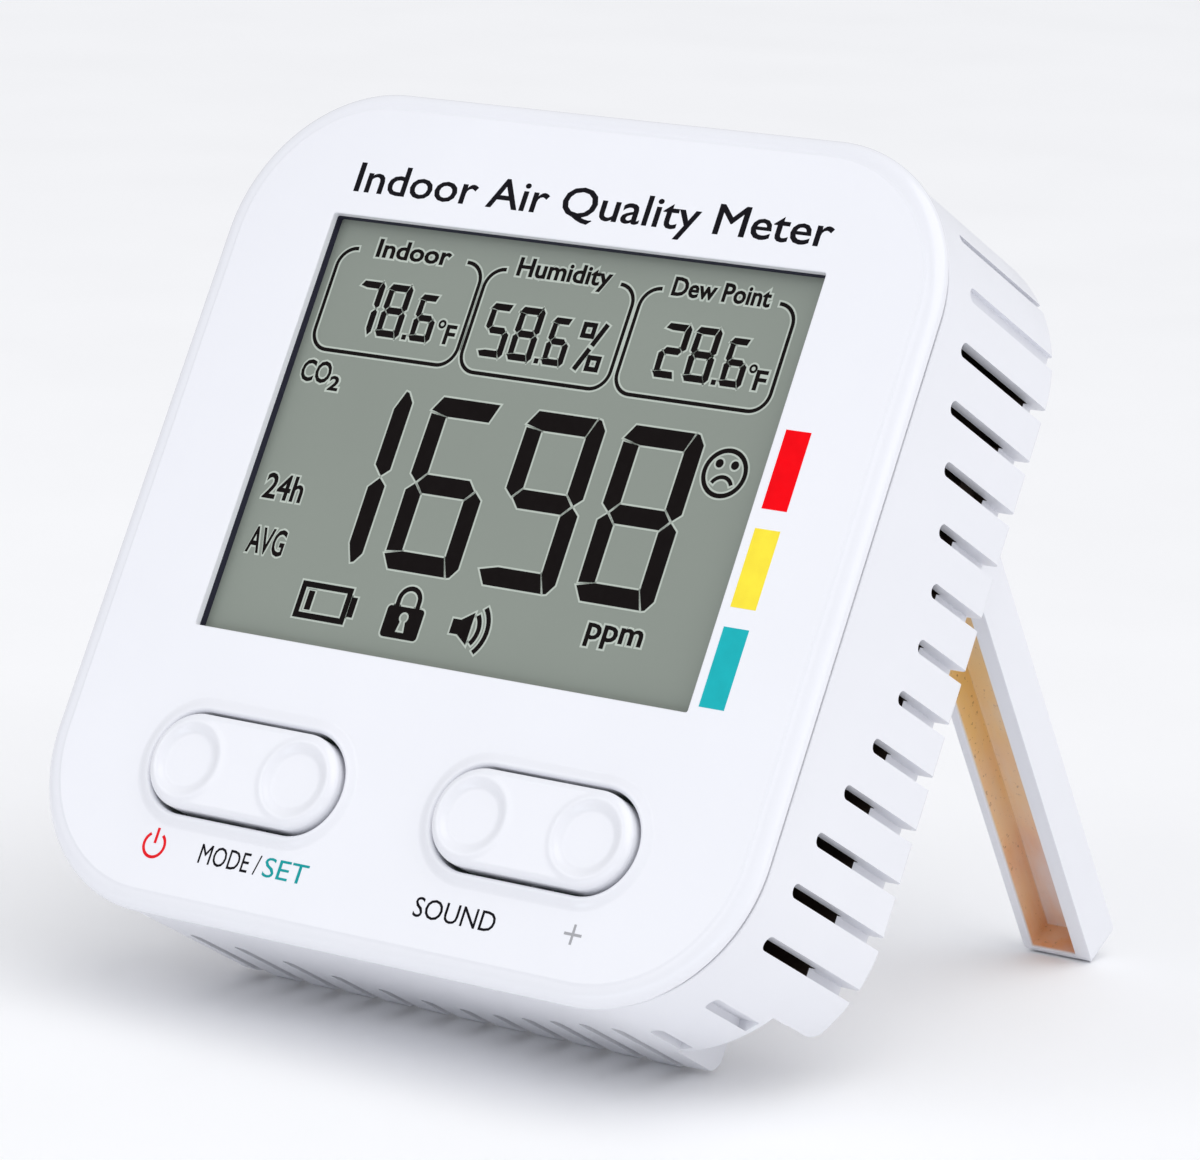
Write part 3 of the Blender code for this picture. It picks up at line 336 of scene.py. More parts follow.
def plate(name, profile, size, centre=(0.0, 0.0), steps=24):
    """Rounded rectangle facing -Y, lofted through the depth and inset pairs of a profile."""
    return loft(name, [[(x, y, z) for x, z in rounded_outline(size, inset, centre, steps)]
                       for y, inset in profile])


def pill_outline(length, height, centre=(0.0, 0.0), steps=32, side_steps=1):
    """Points round a shape with half-round ends, anticlockwise from its right-hand tip."""
    radius, reach = height / 2, (length - height) / 2
    half = circle(radius, (reach, 0.0), steps, 0, 90)
    half += [(reach - 2 * reach * step / side_steps, radius) for step in range(1, side_steps)]
    half += circle(radius, (-reach, 0.0), steps, 90, 90)
    points = half + [(u, -v) for u, v in half[-2:0:-1]]
    return [(centre[0] + u, centre[1] + v) for u, v in points]


AXIS_TURNS = {
    "Z": Matrix.Identity(4),
    "Y": Matrix(((1, 0, 0, 0), (0, 0, -1, 0), (0, 1, 0, 0), (0, 0, 0, 1))),
    "X": Matrix(((0, 0, 1, 0), (1, 0, 0, 0), (0, 1, 0, 0), (0, 0, 0, 1))),
}


def final_mesh(obj):
    """The mesh of an object with its modifiers applied."""
    return bpy.data.meshes.new_from_object(obj.evaluated_get(bpy.context.evaluated_depsgraph_get()))


def baked(curve):
    """The mesh of a curve or a text, which is removed."""
    holder = make_object("curve", curve)
    mesh = final_mesh(holder)
    bpy.data.objects.remove(holder)
    bpy.data.curves.remove(curve)
    return mesh


def cleaned(name, mesh, distance, matrix=None):
    """The mesh with doubled points merged, its faces facing out and, with a matrix, its flats made whole."""
    bm = bmesh.new()
    bm.from_mesh(mesh)
    bpy.data.meshes.remove(mesh)
    bmesh.ops.remove_doubles(bm, verts=bm.verts, dist=distance)
    if matrix:
        bmesh.ops.transform(bm, matrix=matrix, verts=bm.verts)
        bmesh.ops.dissolve_limit(bm, angle_limit=0.001, verts=bm.verts, edges=bm.edges)
    bmesh.ops.recalc_face_normals(bm, faces=bm.faces)
    return mesh_from(bm, name)


def slab(name, outlines, low, high, axis="Y", grow=0.0):
    """Flat outlines, holes included, given thickness from low to high along an axis."""
    curve = bpy.data.curves.new(name, "CURVE")
    curve.dimensions = "2D"
    curve.fill_mode = "BOTH"
    curve.offset = grow
    for outline in outlines:
        spline = curve.splines.new("POLY")
        spline.points.add(len(outline) - 1)
        for point, (u, v) in zip(spline.points, outline):
            point.co = (u, v, 0, 1)
        spline.use_cyclic_u = True
    curve.extrude = (high - low) / 2
    shift = Vector([(low + high) / 2 if axis == name_of_axis else 0 for name_of_axis in "XYZ"])
    return cleaned(name, baked(curve), 1e-6, Matrix.Translation(shift) @ AXIS_TURNS[axis])


def screw_places():
    """Where the four case screws are, seen from the front."""
    return [(side * x, z) for x, z in CASE_SCREWS for side in (-1, 1)]


def along_screws(name, radius, front, back):
    """Round bars round the axes of the four case screws."""
    return cylinders(name, radius, [((x, front, z), (x, back, z)) for x, z in screw_places()])


# ---- pieces

def make_object(name, data, matrix=Matrix.Identity(4)):
    obj = bpy.data.objects.new(name, data)
    bpy.context.scene.collection.objects.link(obj)
    obj.matrix_world = matrix
    return obj


class Solid:
    """A mesh that is cut and extended by others before it becomes a piece."""

    def __init__(self, mesh):
        self.obj = make_object(mesh.name, mesh)
        self.guides = []

    def change(self, mesh, operation):
        guide = make_object("guide", mesh)
        guide.hide_render = True
        self.guides.append(guide)
        modifier = self.obj.modifiers.new("change", "BOOLEAN")
        modifier.operation, modifier.solver, modifier.object = operation, "EXACT", guide

    def cut(self, mesh):
        self.change(mesh, "DIFFERENCE")

    def join(self, mesh):
        self.change(mesh, "UNION")

    def bevel(self, width):
        modifier = self.obj.modifiers.new("bevel", "BEVEL")
        modifier.width, modifier.segments = width, 3
        modifier.limit_method, modifier.angle_limit = "ANGLE", math.radians(40)
        modifier.miter_outer = "MITER_ARC"

    def mesh(self):
        """The finished mesh; the helpers are removed."""
        result = final_mesh(self.obj)
        for helper in [self.obj] + self.guides:
            bpy.data.objects.remove(helper)
        return result


def piece(name, mesh, material, body, matrix=CASE, stands_for=(), angle_deg=35):
    """A finished piece that rides on a body, shaded smooth with its flats kept flat."""
    mesh.shade_smooth()
    mesh.set_sharp_from_angle(angle=math.radians(angle_deg))
    mesh.materials.clear()
    mesh.materials.append(material)
    obj = make_object(name, mesh, matrix)
    obj.modifiers.new("flats", "WEIGHTED_NORMAL").keep_sharp = True
    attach(obj, body)
    if stands_for:
        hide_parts(*stands_for)
    return obj


# ---- materials

class Nodes:
    """Short ways to add shader nodes to a material."""

    def __init__(self, name):
        self.material = bpy.data.materials.new(name)
        self.material.use_nodes = True
        self.tree = self.material.node_tree
        self.shader = self.tree.nodes["Principled BSDF"]
        self.place = self.tree.nodes.new("ShaderNodeTexCoord").outputs["Object"]

    def link(self, output, node, socket):
        self.tree.links.new(output, node.inputs[socket])

    def add(self, kind, source, socket, **values):
        """A node fed through one socket, with constants in others, named with underscores for spaces."""
        node = self.tree.nodes.new("ShaderNode" + kind)
        self.link(source, node, socket)
        for name, value in values.items():
            node.inputs[name.replace("_", " ")].default_value = value
        return node

    def noise(self, scale, detail=2.0, roughness=0.5, stretch=None):
        source = self.place
        if stretch:
            source = self.add("Mapping", source, "Vector", Scale=stretch).outputs["Vector"]
        return self.add("TexNoise", source, "Vector", Scale=scale, Detail=detail,
                        Roughness=roughness).outputs["Fac"]

    def ramp(self, source, *stops):
        """Colours along a value, as (position, colour) pairs."""
        node = self.add("ValToRGB", source, "Fac")
        elements = node.color_ramp.elements
        while len(elements) < len(stops):
            elements.new(0.5)
        for element, (position, colour) in zip(elements, stops):
            element.position, element.color = position, (*colour, 1.0)
        return node.outputs["Color"]

    def mottle(self, scale, dark, light):
        """Patches of two colours that run into each other."""
        return self.ramp(self.noise(scale, 3.0), (0.3, dark), (0.7, light))

    def spread(self, source, low, high, from_low=0.3, from_high=0.7):
        """A value spread from one range onto another."""
        return self.add("MapRange", source, "Value", From_Min=from_low, From_Max=from_high, To_Min=low,
                        To_Max=high).outputs["Result"]

    def maths(self, operation, first, *others):
        """One operation on a value, or on each further value in turn."""
        for other in others or (None,):
            node = self.add("Math", first, 0)
            node.operation = operation
            if other:
                self.link(other, node, 1)
            first = node.outputs[0]
        return first

    def mix(self, factor, first, second):
        node = self.add("Mix", factor, "Factor")
        node.data_type = "RGBA"
        for socket, value in ((6, first), (7, second)):
            if isinstance(value, tuple):
                node.inputs[socket].default_value = (*value, 1.0)
            else:
                self.link(value, node, socket)
        return node.outputs[2]

    def surface(self, colour, roughness, grain, grain_strength, grain_depth):
        """The shader's colour, its roughness and the bumps of its grain."""
        bump = self.add("Bump", grain, "Height", Strength=grain_strength, Distance=grain_depth)
        self.link(colour, self.shader, "Base Color")
        self.link(roughness, self.shader, "Roughness")
        self.link(bump.outputs["Normal"], self.shader, "Normal")
        return self.material


def tinted(colour, change):
    """A pair of slightly darker and lighter tints of a colour."""
    return [tuple(min(part * (1 + sign * change), 1.0) for part in colour) for sign in (-1, 1)]


def plain_detail(name, colour, roughness, metallic=0.0, change=0.04, tint_scale=90.0, grain=2500.0,
                 grain_depth=0.01 * MM, grain_strength=0.3, specular=0.5):
    """A surface with slow tint variation, uneven roughness and a fine grain."""
    nodes = Nodes(name)
    nodes.shader.inputs["Metallic"].default_value = metallic
    nodes.shader.inputs["Specular IOR Level"].default_value = specular
    uneven = nodes.spread(nodes.noise(tint_scale * 3, 4.0), roughness * 0.85, roughness * 1.15)
    return nodes.surface(nodes.mottle(tint_scale, *tinted(colour, change)), uneven, nodes.noise(grain),
                         grain_strength, grain_depth)


WHITE = (0.842, 0.848, 0.89)
STEEL = (0.62, 0.61, 0.58)


def gloss_white():
    return plain_detail("gloss_white", WHITE, 0.16, change=0.008, tint_scale=40.0, grain=450.0,
                        grain_depth=0.004 * MM, grain_strength=0.25)


def satin_white():
    return plain_detail("satin_white", WHITE, 0.40, change=0.010, tint_scale=50.0, grain=3200.0,
                        grain_depth=0.012 * MM, grain_strength=0.35)


def leg_white():
    """The satin white, coloured yellow to brown down inside the leg's channel, with dark specks."""
    nodes = Nodes("leg_white")
    place = nodes.add("SeparateXYZ", nodes.place, "Vector").outputs
    front = CASE_DEPTH - LEG_PIVOT_Y - LEG_THICKNESS
    floor = front + CHANNEL_DEPTH
    reach = CHANNEL_WIDTH / 2 + CHANNEL_SHIFT
    toe_wall = -LEG_LENGTH + (LEG_WIDTH - CHANNEL_WIDTH) / 2
    behind_rim = nodes.spread(place["Y"], 0.0, 1.0, front + 0.15 * MM, front + 0.5 * MM)
    before_back = nodes.spread(place["Y"], 1.0, 0.0, floor + 0.05 * MM, floor + 0.2 * MM)
    across = nodes.spread(nodes.maths("ABSOLUTE", place["X"]), 1.0, 0.0, reach + 0.05 * MM, reach + 0.2 * MM)
    above_toe = nodes.spread(place["Z"], 0.0, 1.0, toe_wall - 0.4 * MM, toe_wall - 0.1 * MM)
    below_top = nodes.spread(place["Z"], 1.0, 0.0, CHANNEL_TOP_Z + 0.1 * MM, CHANNEL_TOP_Z + 0.4 * MM)
    within = nodes.maths("MULTIPLY", behind_rim, before_back, across,
                         nodes.maths("MULTIPLY", above_toe, below_top))
    on_floor = nodes.spread(place["Y"], 0.0, 1.0, floor - 0.25 * MM, floor - 0.02 * MM)
    strong = nodes.spread(nodes.noise(150.0, 4.0, 0.6, (1.0, 1.0, 0.3)), 0.75, 1.0, 0.36, 0.60)
    weak = nodes.spread(nodes.noise(120.0, 4.0, 0.6, (1.0, 1.0, 0.3)), 0.25, 0.8, 0.36, 0.62)
    # The colour is stronger on the channel's walls than on its floor
    wall_amount = nodes.maths("MULTIPLY", strong, nodes.spread(on_floor, 1.0, 0.0, 0.0, 1.0))
    floor_amount = nodes.maths("MULTIPLY", weak, on_floor)
    amount = nodes.maths("MULTIPLY", within, nodes.maths("ADD", wall_amount, floor_amount))
    down = nodes.spread(place["Z"], 0.0, 1.0, CHANNEL_TOP_Z, -LEG_LENGTH)
    wander = nodes.spread(nodes.noise(90.0, 3.0), -0.15, 0.15)
    # Yellow to brown down the channel, darker towards the toe
    channel_colour = nodes.ramp(nodes.maths("ADD", down, wander), (0.0, (0.92, 0.68, 0.38)),
                       (0.35, (0.98, 0.66, 0.24)), (0.7, (0.95, 0.64, 0.36)), (0.97, (0.84, 0.40, 0.18)))
    specks = nodes.spread(nodes.noise(1500.0, 3.0, 0.7), 0.0, 0.75, 0.62, 0.72)
    speckled_channel = nodes.mix(nodes.maths("MULTIPLY", specks, amount), channel_colour, (0.30, 0.12, 0.04))
    base = nodes.mottle(50.0, *tinted(WHITE, 0.010))
    return nodes.surface(nodes.mix(amount, base, speckled_channel), nodes.spread(nodes.noise(150.0, 4.0), 0.34, 0.46),
                         nodes.noise(3200.0), 0.35, 0.012 * MM)


def display_ground():
    """Grey-green reflector of the display behind its polariser, with its faint grain."""
    return plain_detail("display_ground", (0.262, 0.292, 0.256), 0.34, change=0.03, tint_scale=22.0,
                        grain=5200.0, grain_depth=0.004 * MM, grain_strength=0.2, specular=0.12)


def ink(name, colour):
    """Printed ink with slightly uneven cover."""
    return plain_detail(name, colour, 0.5, change=0.05, tint_scale=400.0, grain=5000.0,
                        grain_depth=0.003 * MM, grain_strength=0.25, specular=0.06)


# ---- front of the case

def opening_outline(x, out):
    """The outline of a rocker's opening, moved outwards by a distance."""
    return pill_outline(OPENING_LENGTH + 2 * out, OPENING_HEIGHT + 2 * out, (x, ROCKER_Z))


def rim_ring(x):
    """Soft raised rim round a button opening, from its inner wall over a crest down to the face."""
    root, foot, slope_steps = 0.20 * MM, RIM_WIDTH + 0.2 * MM, 12
    profile = [(0.0, COLLAR_BACK_Y), (0.0, root)]
    profile += [(RIM_ROUND * (1 - cos), root - (RIM_PROUD + root) * sin) for cos, sin in quarter(6)]
    for step in range(1, slope_steps + 1):
        share = step / slope_steps
        profile.append((RIM_ROUND + (RIM_WIDTH - RIM_ROUND) * share,
                        -RIM_PROUD * 0.5 * (1 + math.cos(math.pi * share))))
    profile += [(foot, 0.03 * MM), (foot, BEZEL_THICKNESS),
                (COLLAR_WALL, BEZEL_THICKNESS), (COLLAR_WALL, COLLAR_BACK_Y)]
    return loft("rim", [[(u, y, v) for u, v in opening_outline(x, out)] for out, y in profile], None)


def front_shell(material):
    """Bezel with a fine step and a round edge, its lip and screw posts, and the rims of the two rockers."""
    profile = [(0.0, BEZEL_ROUND + 0.45 * MM), (0.02 * MM, BEZEL_ROUND + 0.32 * MM),
               (BEZEL_STEP - 0.02 * MM, BEZEL_ROUND + 0.13 * MM)]
    profile += [(BEZEL_STEP + (BEZEL_ROUND_DEPTH - BEZEL_STEP) * (1 - cos), BEZEL_ROUND * (1 - sin))
                for cos, sin in quarter(10)]
    profile += [(BEZEL_THICKNESS - 0.12 * MM, 0.0), (BEZEL_THICKNESS, 0.12 * MM)]
    body = Solid(plate("front_shell", profile, FACE, steps=40))
    inset = BEZEL_OVERHANG + WALL + GAP
    lip = [rounded_outline(FACE, inset), rounded_outline(FACE, inset + LIP_THICKNESS)]
    body.join(slab("lip", lip, BEZEL_THICKNESS / 2, LIP_BACK_Y))
    body.cut(window_cutter())
    for x in (-ROCKER_X, ROCKER_X):
        body.cut(slab("opening", [opening_outline(x, RIM_WIDTH * 0.9)], -SPARE, LIP_BACK_Y + SPARE))
    body.join(along_screws("posts", POST_RADIUS, BEZEL_THICKNESS / 2, POST_END_Y))
    body.cut(along_screws("pilots", SHANK_HOLE, LIP_BACK_Y, POST_END_Y + SPARE))
    meshes = [body.mesh()]
    for x in (-ROCKER_X, ROCKER_X):
        rim = Solid(rim_ring(x))
        pivot = (x, ROCKER_AXIS_Y, ROCKER_Z)
        ends = both_ways(pivot, 2 * ROCKER_PIN_REACH, "Z")
        rim.cut(cylinders("bearing", ROCKER_PIN_RADIUS + GAP, [ends]))
        meshes.append(rim.mesh())
    piece("front_shell", join_meshes("front_shell", meshes), material, "case",
          stands_for=["front_bezel"])


def window_cutter():
    """Window opening with a small eased front edge, opened wider behind its lip."""
    ease = 0.22 * MM
    wide = 0.6 * MM
    profile = ((-SPARE, -ease), (0, -ease), (ease * 0.45, ease * -0.2), (ease, 0), (WINDOW_LIP, 0),
               (WINDOW_LIP + 0.01 * MM, -wide), (LIP_BACK_Y + SPARE, -wide))
    return plate("window", profile, (WINDOW_WIDTH, WINDOW_HEIGHT, WINDOW_CORNER), (0, WINDOW_Z), 4)


def window_shadow_gasket(material):
    """Thin dark frame between the window's lip and the display, which stands in for the painted shadow inside the
    window's recess.
    """
    outlines = [rounded_outline((WINDOW_WIDTH + wider, WINDOW_HEIGHT + wider, corner), 0, (0, WINDOW_Z), 4)
                for wider, corner in ((1.1 * MM, 2 * WINDOW_CORNER), (-0.06 * MM, WINDOW_CORNER))]
    mesh = slab("window_shadow_gasket", outlines, WINDOW_LIP + 0.03 * MM, GLASS_Y - 0.02 * MM)
    piece("window_shadow_gasket", mesh, material, "case")


# ---- rear of the case

def side_surface_x(z):
    """Distance from the middle to the outside of the shell's side at height z."""
    rise = abs(z) - (SHELL_HEIGHT / 2 - SHELL_CORNER)
    if rise <= 0:
        return SHELL_WIDTH / 2
    return SHELL_WIDTH / 2 - SHELL_CORNER + math.sqrt(SHELL_CORNER ** 2 - rise ** 2)


def both_sides(name, outline, inner, outer):
    """A slab on the right-hand side of the case and its mirror image."""
    return [slab(name, [outline], low, high, "X") for low, high in ((inner, outer), (-outer, -inner))]


def slot_outline(front, back, middle, width=SLOT_WIDTH):
    """A slot with a round front end, running back along the first coordinate."""
    half = width / 2
    return [(back, middle - half), (back, middle + half)] + circle(half, (front + half, middle), 10, 90, 180)


def side_slots():
    """Slots along both sides, open at the rear except in the bottom corners."""
    outside = SHELL_WIDTH / 2 + SPARE
    rows = []
    for number in range(-SIDE_SLOTS_DOWN, SIDE_SLOTS_UP + 1):
        offset = number * SIDE_PITCH
        swell = 1 + math.cos(math.pi * min(abs(offset) / SIDE_SPAN, 1))
        width = TOP_SLOT_WIDTH if number == SIDE_SLOTS_UP else SLOT_WIDTH
        depth = BLIND_DEPTH if number >= FIRST_BLIND_SLOT else SLOT_DEPTH
        front = SIDE_FRONT_Y + SIDE_SWELL * swell
        rows.append((SIDE_CENTRE_Z + offset, front, CASE_DEPTH + SPARE, width, depth))
    rows.append((CORNER_SLOT_Z, SIDE_FRONT_Y + 1.5 * MM, CORNER_SLOT_END_Y, CORNER_SLOT_WIDTH, BLIND_DEPTH))
    meshes = []
    for z, front, end, width, depth in rows:
        surface = side_surface_x(z)
        slope = (surface - (SHELL_WIDTH / 2 - SHELL_CORNER)) / SHELL_CORNER
        inner = surface - depth / max(slope, 0.5)
        outline = slot_outline(front, end, z, width)
        meshes += both_sides("slot", outline, inner, outside)
    return join_meshes("side_slots", meshes)


def end_slots():
    """Slots along the top and the underside, open at the rear except in the bottom corners."""
    meshes = []
    outside = SHELL_HEIGHT / 2 + SPARE
    inner = SHELL_HEIGHT / 2 - SLOT_DEPTH
    for number in range(-END_SLOTS_EACH_WAY - 1, END_SLOTS_EACH_WAY + 1):
        x = (number + 0.5) * END_PITCH
        front = END_MIDDLE_Y + END_SWELL * math.cos(math.pi * x / END_SPAN)
        stops_early = abs(x) > CORNER_SLOT_X - END_PITCH / 2
        for low, high, back in ((-outside, -inner, CORNER_SLOT_END_Y if stops_early else CASE_DEPTH + SPARE),
                                (inner, outside, CASE_DEPTH + SPARE)):
            outline = [(u, v) for v, u in slot_outline(front, back, x)]
            meshes.append(slab("slot", [outline], low, high, "Z"))
    return join_meshes("end_slots", meshes)


def groove_boxes(margin, floor, top):
    """A box for each leg groove, wider than it by margin, that runs out of the case below and behind."""
    half = GROOVE_WIDTH / 2 + margin
    return boxes("grooves", [((x - half, floor, BELOW_CASE_Z), (x + half, BEHIND_CASE_Y, top))
                             for x in (-LEG_X, LEG_X)])


def tray_box(front, margin):
    """A box round the battery tray, wider than it by margin, that runs out behind the case."""
    half = TRAY_HALF_WIDTH + margin
    return box("tray", (-half, front, TRAY_BOTTOM_Z - margin), (half, BEHIND_CASE_Y, TRAY_TOP_Z + margin))


def inside_air():
    """The room inside the rear shell, without the grooves, tray and screw bosses that stand in it."""
    air = Solid(slab("inside_air", [rounded_outline(SHELL, WALL)], 0, REAR_INSIDE))
    floor, top = GROOVE_FLOOR_Y - GROOVE_WALL, GROOVE_TOP_Z + GROOVE_WALL
    air.cut(groove_boxes(GROOVE_SIDE_WALL, floor, DEEP_SLOTS_Z))
    air.cut(groove_boxes(UPPER_SIDE_WALL, floor, top))
    air.cut(groove_boxes(GROOVE_SIDE_WALL, DEEP_SLOTS_END_Y, top))
    air.cut(groove_boxes(GROOVE_SIDE_WALL, NOTCH_FLOOR_Y - GROOVE_WALL, NOTCH_TOP_Z + GROOVE_WALL))
    air.cut(tray_box(TRAY_FLOOR_Y - COVER_LEDGE, TRAY_WALL))
    air.cut(along_screws("bosses", POST_RADIUS, POST_END_Y + GAP, BEHIND_CASE_Y))
    return air.mesh()


def rear_case(material, inner):
    """Rear shell with its seam step, leg grooves, battery tray, screw holes and vent slots."""
    profile = [(SHELL_FRONT, SEAM_INSET), (SEAM_BACK_Y, SEAM_INSET), (SEAM_BACK_Y + 0.02 * MM, 0.12 * MM),
               (SEAM_BACK_Y + 0.14 * MM, 0.0)]
    profile += [(CASE_DEPTH - REAR_EDGE * (1 - sin), REAR_EDGE * (1 - cos)) for cos, sin in quarter(6)]
    shell = Solid(plate("rear_case", profile, SHELL, steps=40))
    shell.cut(inside_air())
    shell.cut(groove_cutter())
    shell.cut(corner_rounding())
    shell.cut(groove_boxes(-0.05 * MM, NOTCH_FLOOR_Y, NOTCH_TOP_Z))
    shell.cut(tray_box(TRAY_FLOOR_Y, 0))
    shell.cut(tray_box(REAR_INSIDE, COVER_LEDGE))
    sockets = [both_ways((x, LEG_PIVOT_Y, LEG_PIVOT_Z), GROOVE_WIDTH / 2 + LEG_SOCKET_DEPTH)
               for x in (-LEG_X, LEG_X)]
    shell.cut(cylinders("sockets", LEG_PIN_RADIUS + GAP, sockets))
    shell.cut(along_screws("shanks", SHANK_HOLE, POST_END_Y - SPARE, BEHIND_CASE_Y))
    shell.cut(along_screws("heads", HEAD_HOLE, SCREW_SEAT_Y, BEHIND_CASE_Y))
    shell.cut(side_slots())
    shell.cut(end_slots())
    mesh = shell.mesh()
    rest_on_floor(mesh, CASE)
    obj = piece("rear_case", mesh, material, "case", stands_for=["rear_shell"])
    # The faces inside the shell and in the seam's step get the dark painted shade
    paint_shade_inside(obj, inner)


def groove_cutter():
    """The leg grooves, with rounded lead-ins along their rear edges."""
    half = GROOVE_WIDTH / 2
    lead = half + MOUTH_ROUND
    arc = circle(MOUTH_ROUND, (-lead, CASE_DEPTH - MOUTH_ROUND), 8, 0, 90)
    left = [(-half, GROOVE_FLOOR_Y), *arc, (-lead, BEHIND_CASE_Y)]
    outline = left + [(-u, v) for u, v in left[::-1]]
    return join_meshes("grooves", [slab("groove", [[(x + u, v) for u, v in outline]], BELOW_CASE_Z,
                                        GROOVE_TOP_Z, "Z") for x in (-LEG_X, LEG_X)])


def corner_rounding():
    """Rounds the lower rear corners of the walls on both sides of each leg groove."""
    meshes = []
    for inner, outer, bottom, radius in ROUNDED_CORNERS:
        arc = circle(radius, (CASE_DEPTH - radius, bottom + radius), 10, -90, 90)
        outline = arc + [(CASE_DEPTH + SPARE, bottom + radius), (CASE_DEPTH + SPARE, bottom - SPARE),
                         (CASE_DEPTH - radius, bottom - SPARE)]
        meshes += both_sides("corner", outline, inner, outer)
    return join_meshes("corners", meshes)


def depth_inside(x, z):
    """How far a place lies inside the shell's outline, seen from the front."""
    u = abs(x) - (SHELL_WIDTH / 2 - SHELL_CORNER)
    v = abs(z) - (SHELL_HEIGHT / 2 - SHELL_CORNER)
    return SHELL_CORNER - (math.hypot(max(u, 0), max(v, 0)) + min(max(u, v), 0))


def paint_shade_inside(obj, material):
    """Gives the second material, a painted shade, to the faces that only show through the vent slots, and a
    painted shadow line to the step of the seam.
    """
    mesh = obj.data
    mesh.materials.append(material)
    slack = 0.03 * MM
    for face in mesh.polygons:
        points = [mesh.vertices[i].co for i in face.vertices]
        depths = [depth_inside(point.x, point.z) for point in points]
        front, rear = min(point.y for point in points), max(point.y for point in points)
        x, y, z = face.center
        in_tray = (abs(x) < TRAY_HALF_WIDTH + slack and y > TRAY_FLOOR_Y - slack
                   and TRAY_BOTTOM_Z - slack < z < TRAY_TOP_Z + slack)
        floor = NOTCH_FLOOR_Y if z < NOTCH_TOP_Z else GROOVE_FLOOR_Y
        in_groove = (abs(abs(x) - LEG_X) < GROOVE_WIDTH / 2 + MOUTH_ROUND
                     and y > floor - slack and z < GROOVE_TOP_Z + slack)
        in_hole = any(math.hypot(x - u, z - v) < HEAD_HOLE + slack for u, v in screw_places())
        slot_end = max(depths) < SLOT_DEPTH + slack and face.normal.x * x > 0
        # The step of the seam gets the same dark colour: a painted shadow line along the seam
        in_seam_shadow = min(depths) > SEAM_INSET - slack and rear < SEAM_BACK_Y + slack
        within = min(depths) > WALL - slack and front > SHELL_FRONT - slack and rear < REAR_INSIDE + slack
        if in_seam_shadow or (within and not (in_tray or in_groove or in_hole or slot_end)):
            face.material_index = 1


def rest_on_floor(mesh, matrix):
    """Presses what would reach below the floor flat onto it."""
    back = matrix.inverted()
    for vert in mesh.vertices:
        place = matrix @ vert.co
        if place.z < 0:
            place.z = 0
            vert.co = back @ place


def battery_door(material):
    """Battery cover with ribs between the cells and a hollow with ridges for a fingertip."""
    half = TRAY_HALF_WIDTH + COVER_LEDGE - GAP
    low = TRAY_BOTTOM_Z - COVER_LEDGE + GAP
    high = TRAY_TOP_Z + COVER_LEDGE - GAP
    front = REAR_INSIDE + GAP
    back = front + COVER_THICKNESS
    profile = edge_profile(front, back, (0.1 * MM, 0.1 * MM), (0.35 * MM, 0.35 * MM), 4)
    door = Solid(plate("battery_door", profile, (2 * half, high - low, 1.0 * MM), (0, (low + high) / 2), 8))
    rib_end, rib = 4 * MM, 0.6 * MM
    ribs = [((x - rib, front - 1 * MM, low + rib_end), (x + rib, front + 0.5 * MM, high - rib_end))
            for x in (-CELL_PITCH, 0, CELL_PITCH)]
    door.join(boxes("ribs", ribs))
    grip_radius, grip_half, grip_z = 9 * MM, 8 * MM, high - 7 * MM
    grip_y = back + grip_radius - 1.0 * MM
    door.cut(cylinders("grip", grip_radius, [both_ways((0, grip_y, grip_z), grip_half)], 64))
    ridges = [both_ways((0, back - 0.95 * MM + abs(step) * 0.13 * MM, grip_z + step * 1.1 * MM),
                        grip_half - 1.2 * MM) for step in range(-2, 3)]
    door.join(cylinders("ridges", 0.3 * MM, ridges, 12))
    piece("battery_door", door.mesh(), material, "battery_cover", stands_for=["battery_cover"])


# ---- legs

def fold_out_leg(side, material):
    """U-section leg with eased edges, drawn folded with its pivot at the origin."""
    name = "leg_left" if side < 0 else "leg_right"
    back = CASE_DEPTH - LEG_PIVOT_Y
    front = back - LEG_THICKNESS
    half = LEG_WIDTH / 2
    mesh = box(name, (-half, front, -LEG_LENGTH), (half, back, LEG_HEEL))
    bm = bmesh.new()
    bm.from_mesh(mesh)
    toe = [edge for edge in bm.edges if all(vert.co.z < -LEG_LENGTH + 0.01 * MM for vert in edge.verts)]
    bmesh.ops.bevel(bm, geom=toe, offset=FOOT_ROUND, segments=8, profile=0.5, affect="EDGES")
    bm.to_mesh(mesh)
    bm.free()
    leg = Solid(mesh)
    rim = (LEG_WIDTH - CHANNEL_WIDTH) / 2
    middle = -side * CHANNEL_SHIFT
    leg.cut(box("channel", (middle - CHANNEL_WIDTH / 2, front - SPARE, -LEG_LENGTH + rim),
                (middle + CHANNEL_WIDTH / 2, front + CHANNEL_DEPTH, CHANNEL_TOP_Z)))
    leg.bevel(0.35 * MM)
    leg.join(cylinders("pins", LEG_PIN_RADIUS, [both_ways((0, 0, 0), half + LEG_PIN_LENGTH)]))
    turn = Matrix.Rotation(math.radians(LEG_OPEN_DEG), 4, "X")
    matrix = CASE @ Matrix.Translation((side * LEG_X, LEG_PIVOT_Y, LEG_PIVOT_Z)) @ turn
    mesh = leg.mesh()
    rest_on_floor(mesh, matrix)
    piece(name + "_moulding", mesh, material, name, matrix, [name])


# ---- rocker buttons

def cap_depth(x, z, inset):
    """Depth of the cap's front: a rounded edge, and a dish with a soft raised ring near each end."""
    depth = -CAP_PROUD
    if inset < CAP_ROUND:
        depth += CAP_ROUND * (1 - math.sqrt(1 - (1 - inset / CAP_ROUND) ** 2))
    distance = math.hypot(abs(x) - DISH_X, z)
    share = min(max((DISH_RADIUS - distance) / DISH_WALL, 0.0), 1.0)
    depth += DISH_FLOOR_DEPTH * share * share * (3 - 2 * share)
    ring = (distance - DISH_RADIUS - 0.25 * MM) / (0.42 * MM)
    return depth - DISH_RING_PROUD * math.exp(-ring * ring)


